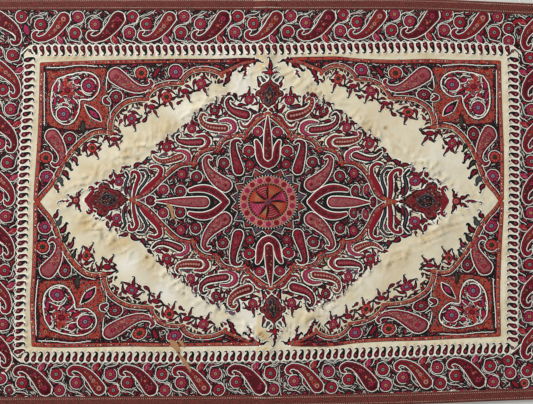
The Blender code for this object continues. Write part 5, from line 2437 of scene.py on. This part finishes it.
IMAGE_SIZE = (533, 404)
LENS = 70.0
SENSOR = 36.0
CAMERA_PLACE = (
    (IMAGE_SIZE[0] / 2 - PAPER_MIDDLE[0]) * SQUARE,
    (PAPER_MIDDLE[1] - IMAGE_SIZE[1] / 2) * SQUARE,
    IMAGE_SIZE[0] * SQUARE * LENS / SENSOR,
)
Light = namedtuple("Light", "name place size power")
LIGHTS = (
    Light("key_light", (-3.6, 3.0, 2.6), 1.2, 240.0),
    Light("fill_light", (1.9, -0.6, 2.6), 2.2, 14.0),
    Light("top_light", (0.2, 0.4, 3.4), 2.4, 16.0),
)
DAYLIGHT = 0.26  # the strength of the even light from all round


class COVER_OT_set_stage(Operator):
    """Sets the floor, the soft lights and the camera straight above"""

    bl_idname = "cover.set_stage"
    bl_label = "Set the stage"

    def execute(self, context):
        bpy.ops.object.select_all(action="DESELECT")
        bpy.ops.mesh.primitive_plane_add(size=14, location=(0, 0, -0.002))
        floor = context.object
        floor.name = "floor"
        material, _, surface = new_material("matt floor")
        surface.inputs["Base Color"].default_value = context.scene.cover_colours.floor
        surface.inputs["Roughness"].default_value = 0.9
        floor.data.materials.append(material)
        for name, place, size, power in LIGHTS:
            bpy.ops.object.light_add(type="AREA", location=place)
            light = context.object
            light.name = name
            light.data.size = size
            light.data.energy = power
            light.rotation_euler = (-Vector(place)).to_track_quat("-Z", "Y").to_euler()
        world = bpy.data.worlds.new("soft studio")
        world.use_nodes = True
        background = world.node_tree.nodes["Background"]
        background.inputs["Color"].default_value = (1, 1, 1, 1)
        background.inputs["Strength"].default_value = DAYLIGHT
        context.scene.world = world
        bpy.ops.object.camera_add(location=CAMERA_PLACE, rotation=(0, 0, 0))
        camera = context.object
        camera.data.lens = LENS
        camera.data.sensor_width = SENSOR
        camera.data.clip_end = 30
        context.scene.camera = camera
        context.scene.view_settings.view_transform = "Standard"
        return {"FINISHED"}

STEPS = (
    "lay_cloth", "sew_tapes", "stitch_border", "stitch_corners", "stitch_medallion", "stitch_filling",
    "fasten_threads", "set_stage",
)


class COVER_PT_panel(Panel):
    """The steps of making the cover, in order"""

    bl_idname = "COVER_PT_panel"
    bl_label = "Embroidered cover"
    bl_space_type = "VIEW_3D"
    bl_region_type = "UI"
    bl_category = "Cover"

    def draw(self, context):
        column = self.layout.column()
        for name in ("cloth_thickness", "tape_thickness", "tape_width", "mesh_step"):
            column.prop(context.scene.cover_sizes, name)
        column.prop(context.scene.cover_colours, "floor")
        for step in STEPS:
            column.operator(f"cover.{step}")


CLASSES = (
    CoverSizes, CoverColours, COVER_OT_lay_cloth, COVER_OT_sew_tapes, COVER_OT_stitch_border,
    COVER_OT_stitch_corners, COVER_OT_stitch_medallion, COVER_OT_stitch_filling, COVER_OT_fasten_threads,
    COVER_OT_set_stage, COVER_PT_panel,
)


def register():
    for cls in CLASSES:
        bpy.utils.register_class(cls)
    bpy.types.Scene.cover_sizes = PointerProperty(type=CoverSizes)
    bpy.types.Scene.cover_colours = PointerProperty(type=CoverColours)


def unregister():
    del bpy.types.Scene.cover_colours
    del bpy.types.Scene.cover_sizes
    for cls in reversed(CLASSES):
        bpy.utils.unregister_class(cls)


def main():
    register()
    for step in STEPS:
        getattr(bpy.ops.cover, step)()


if __name__ == "__main__":
    main()
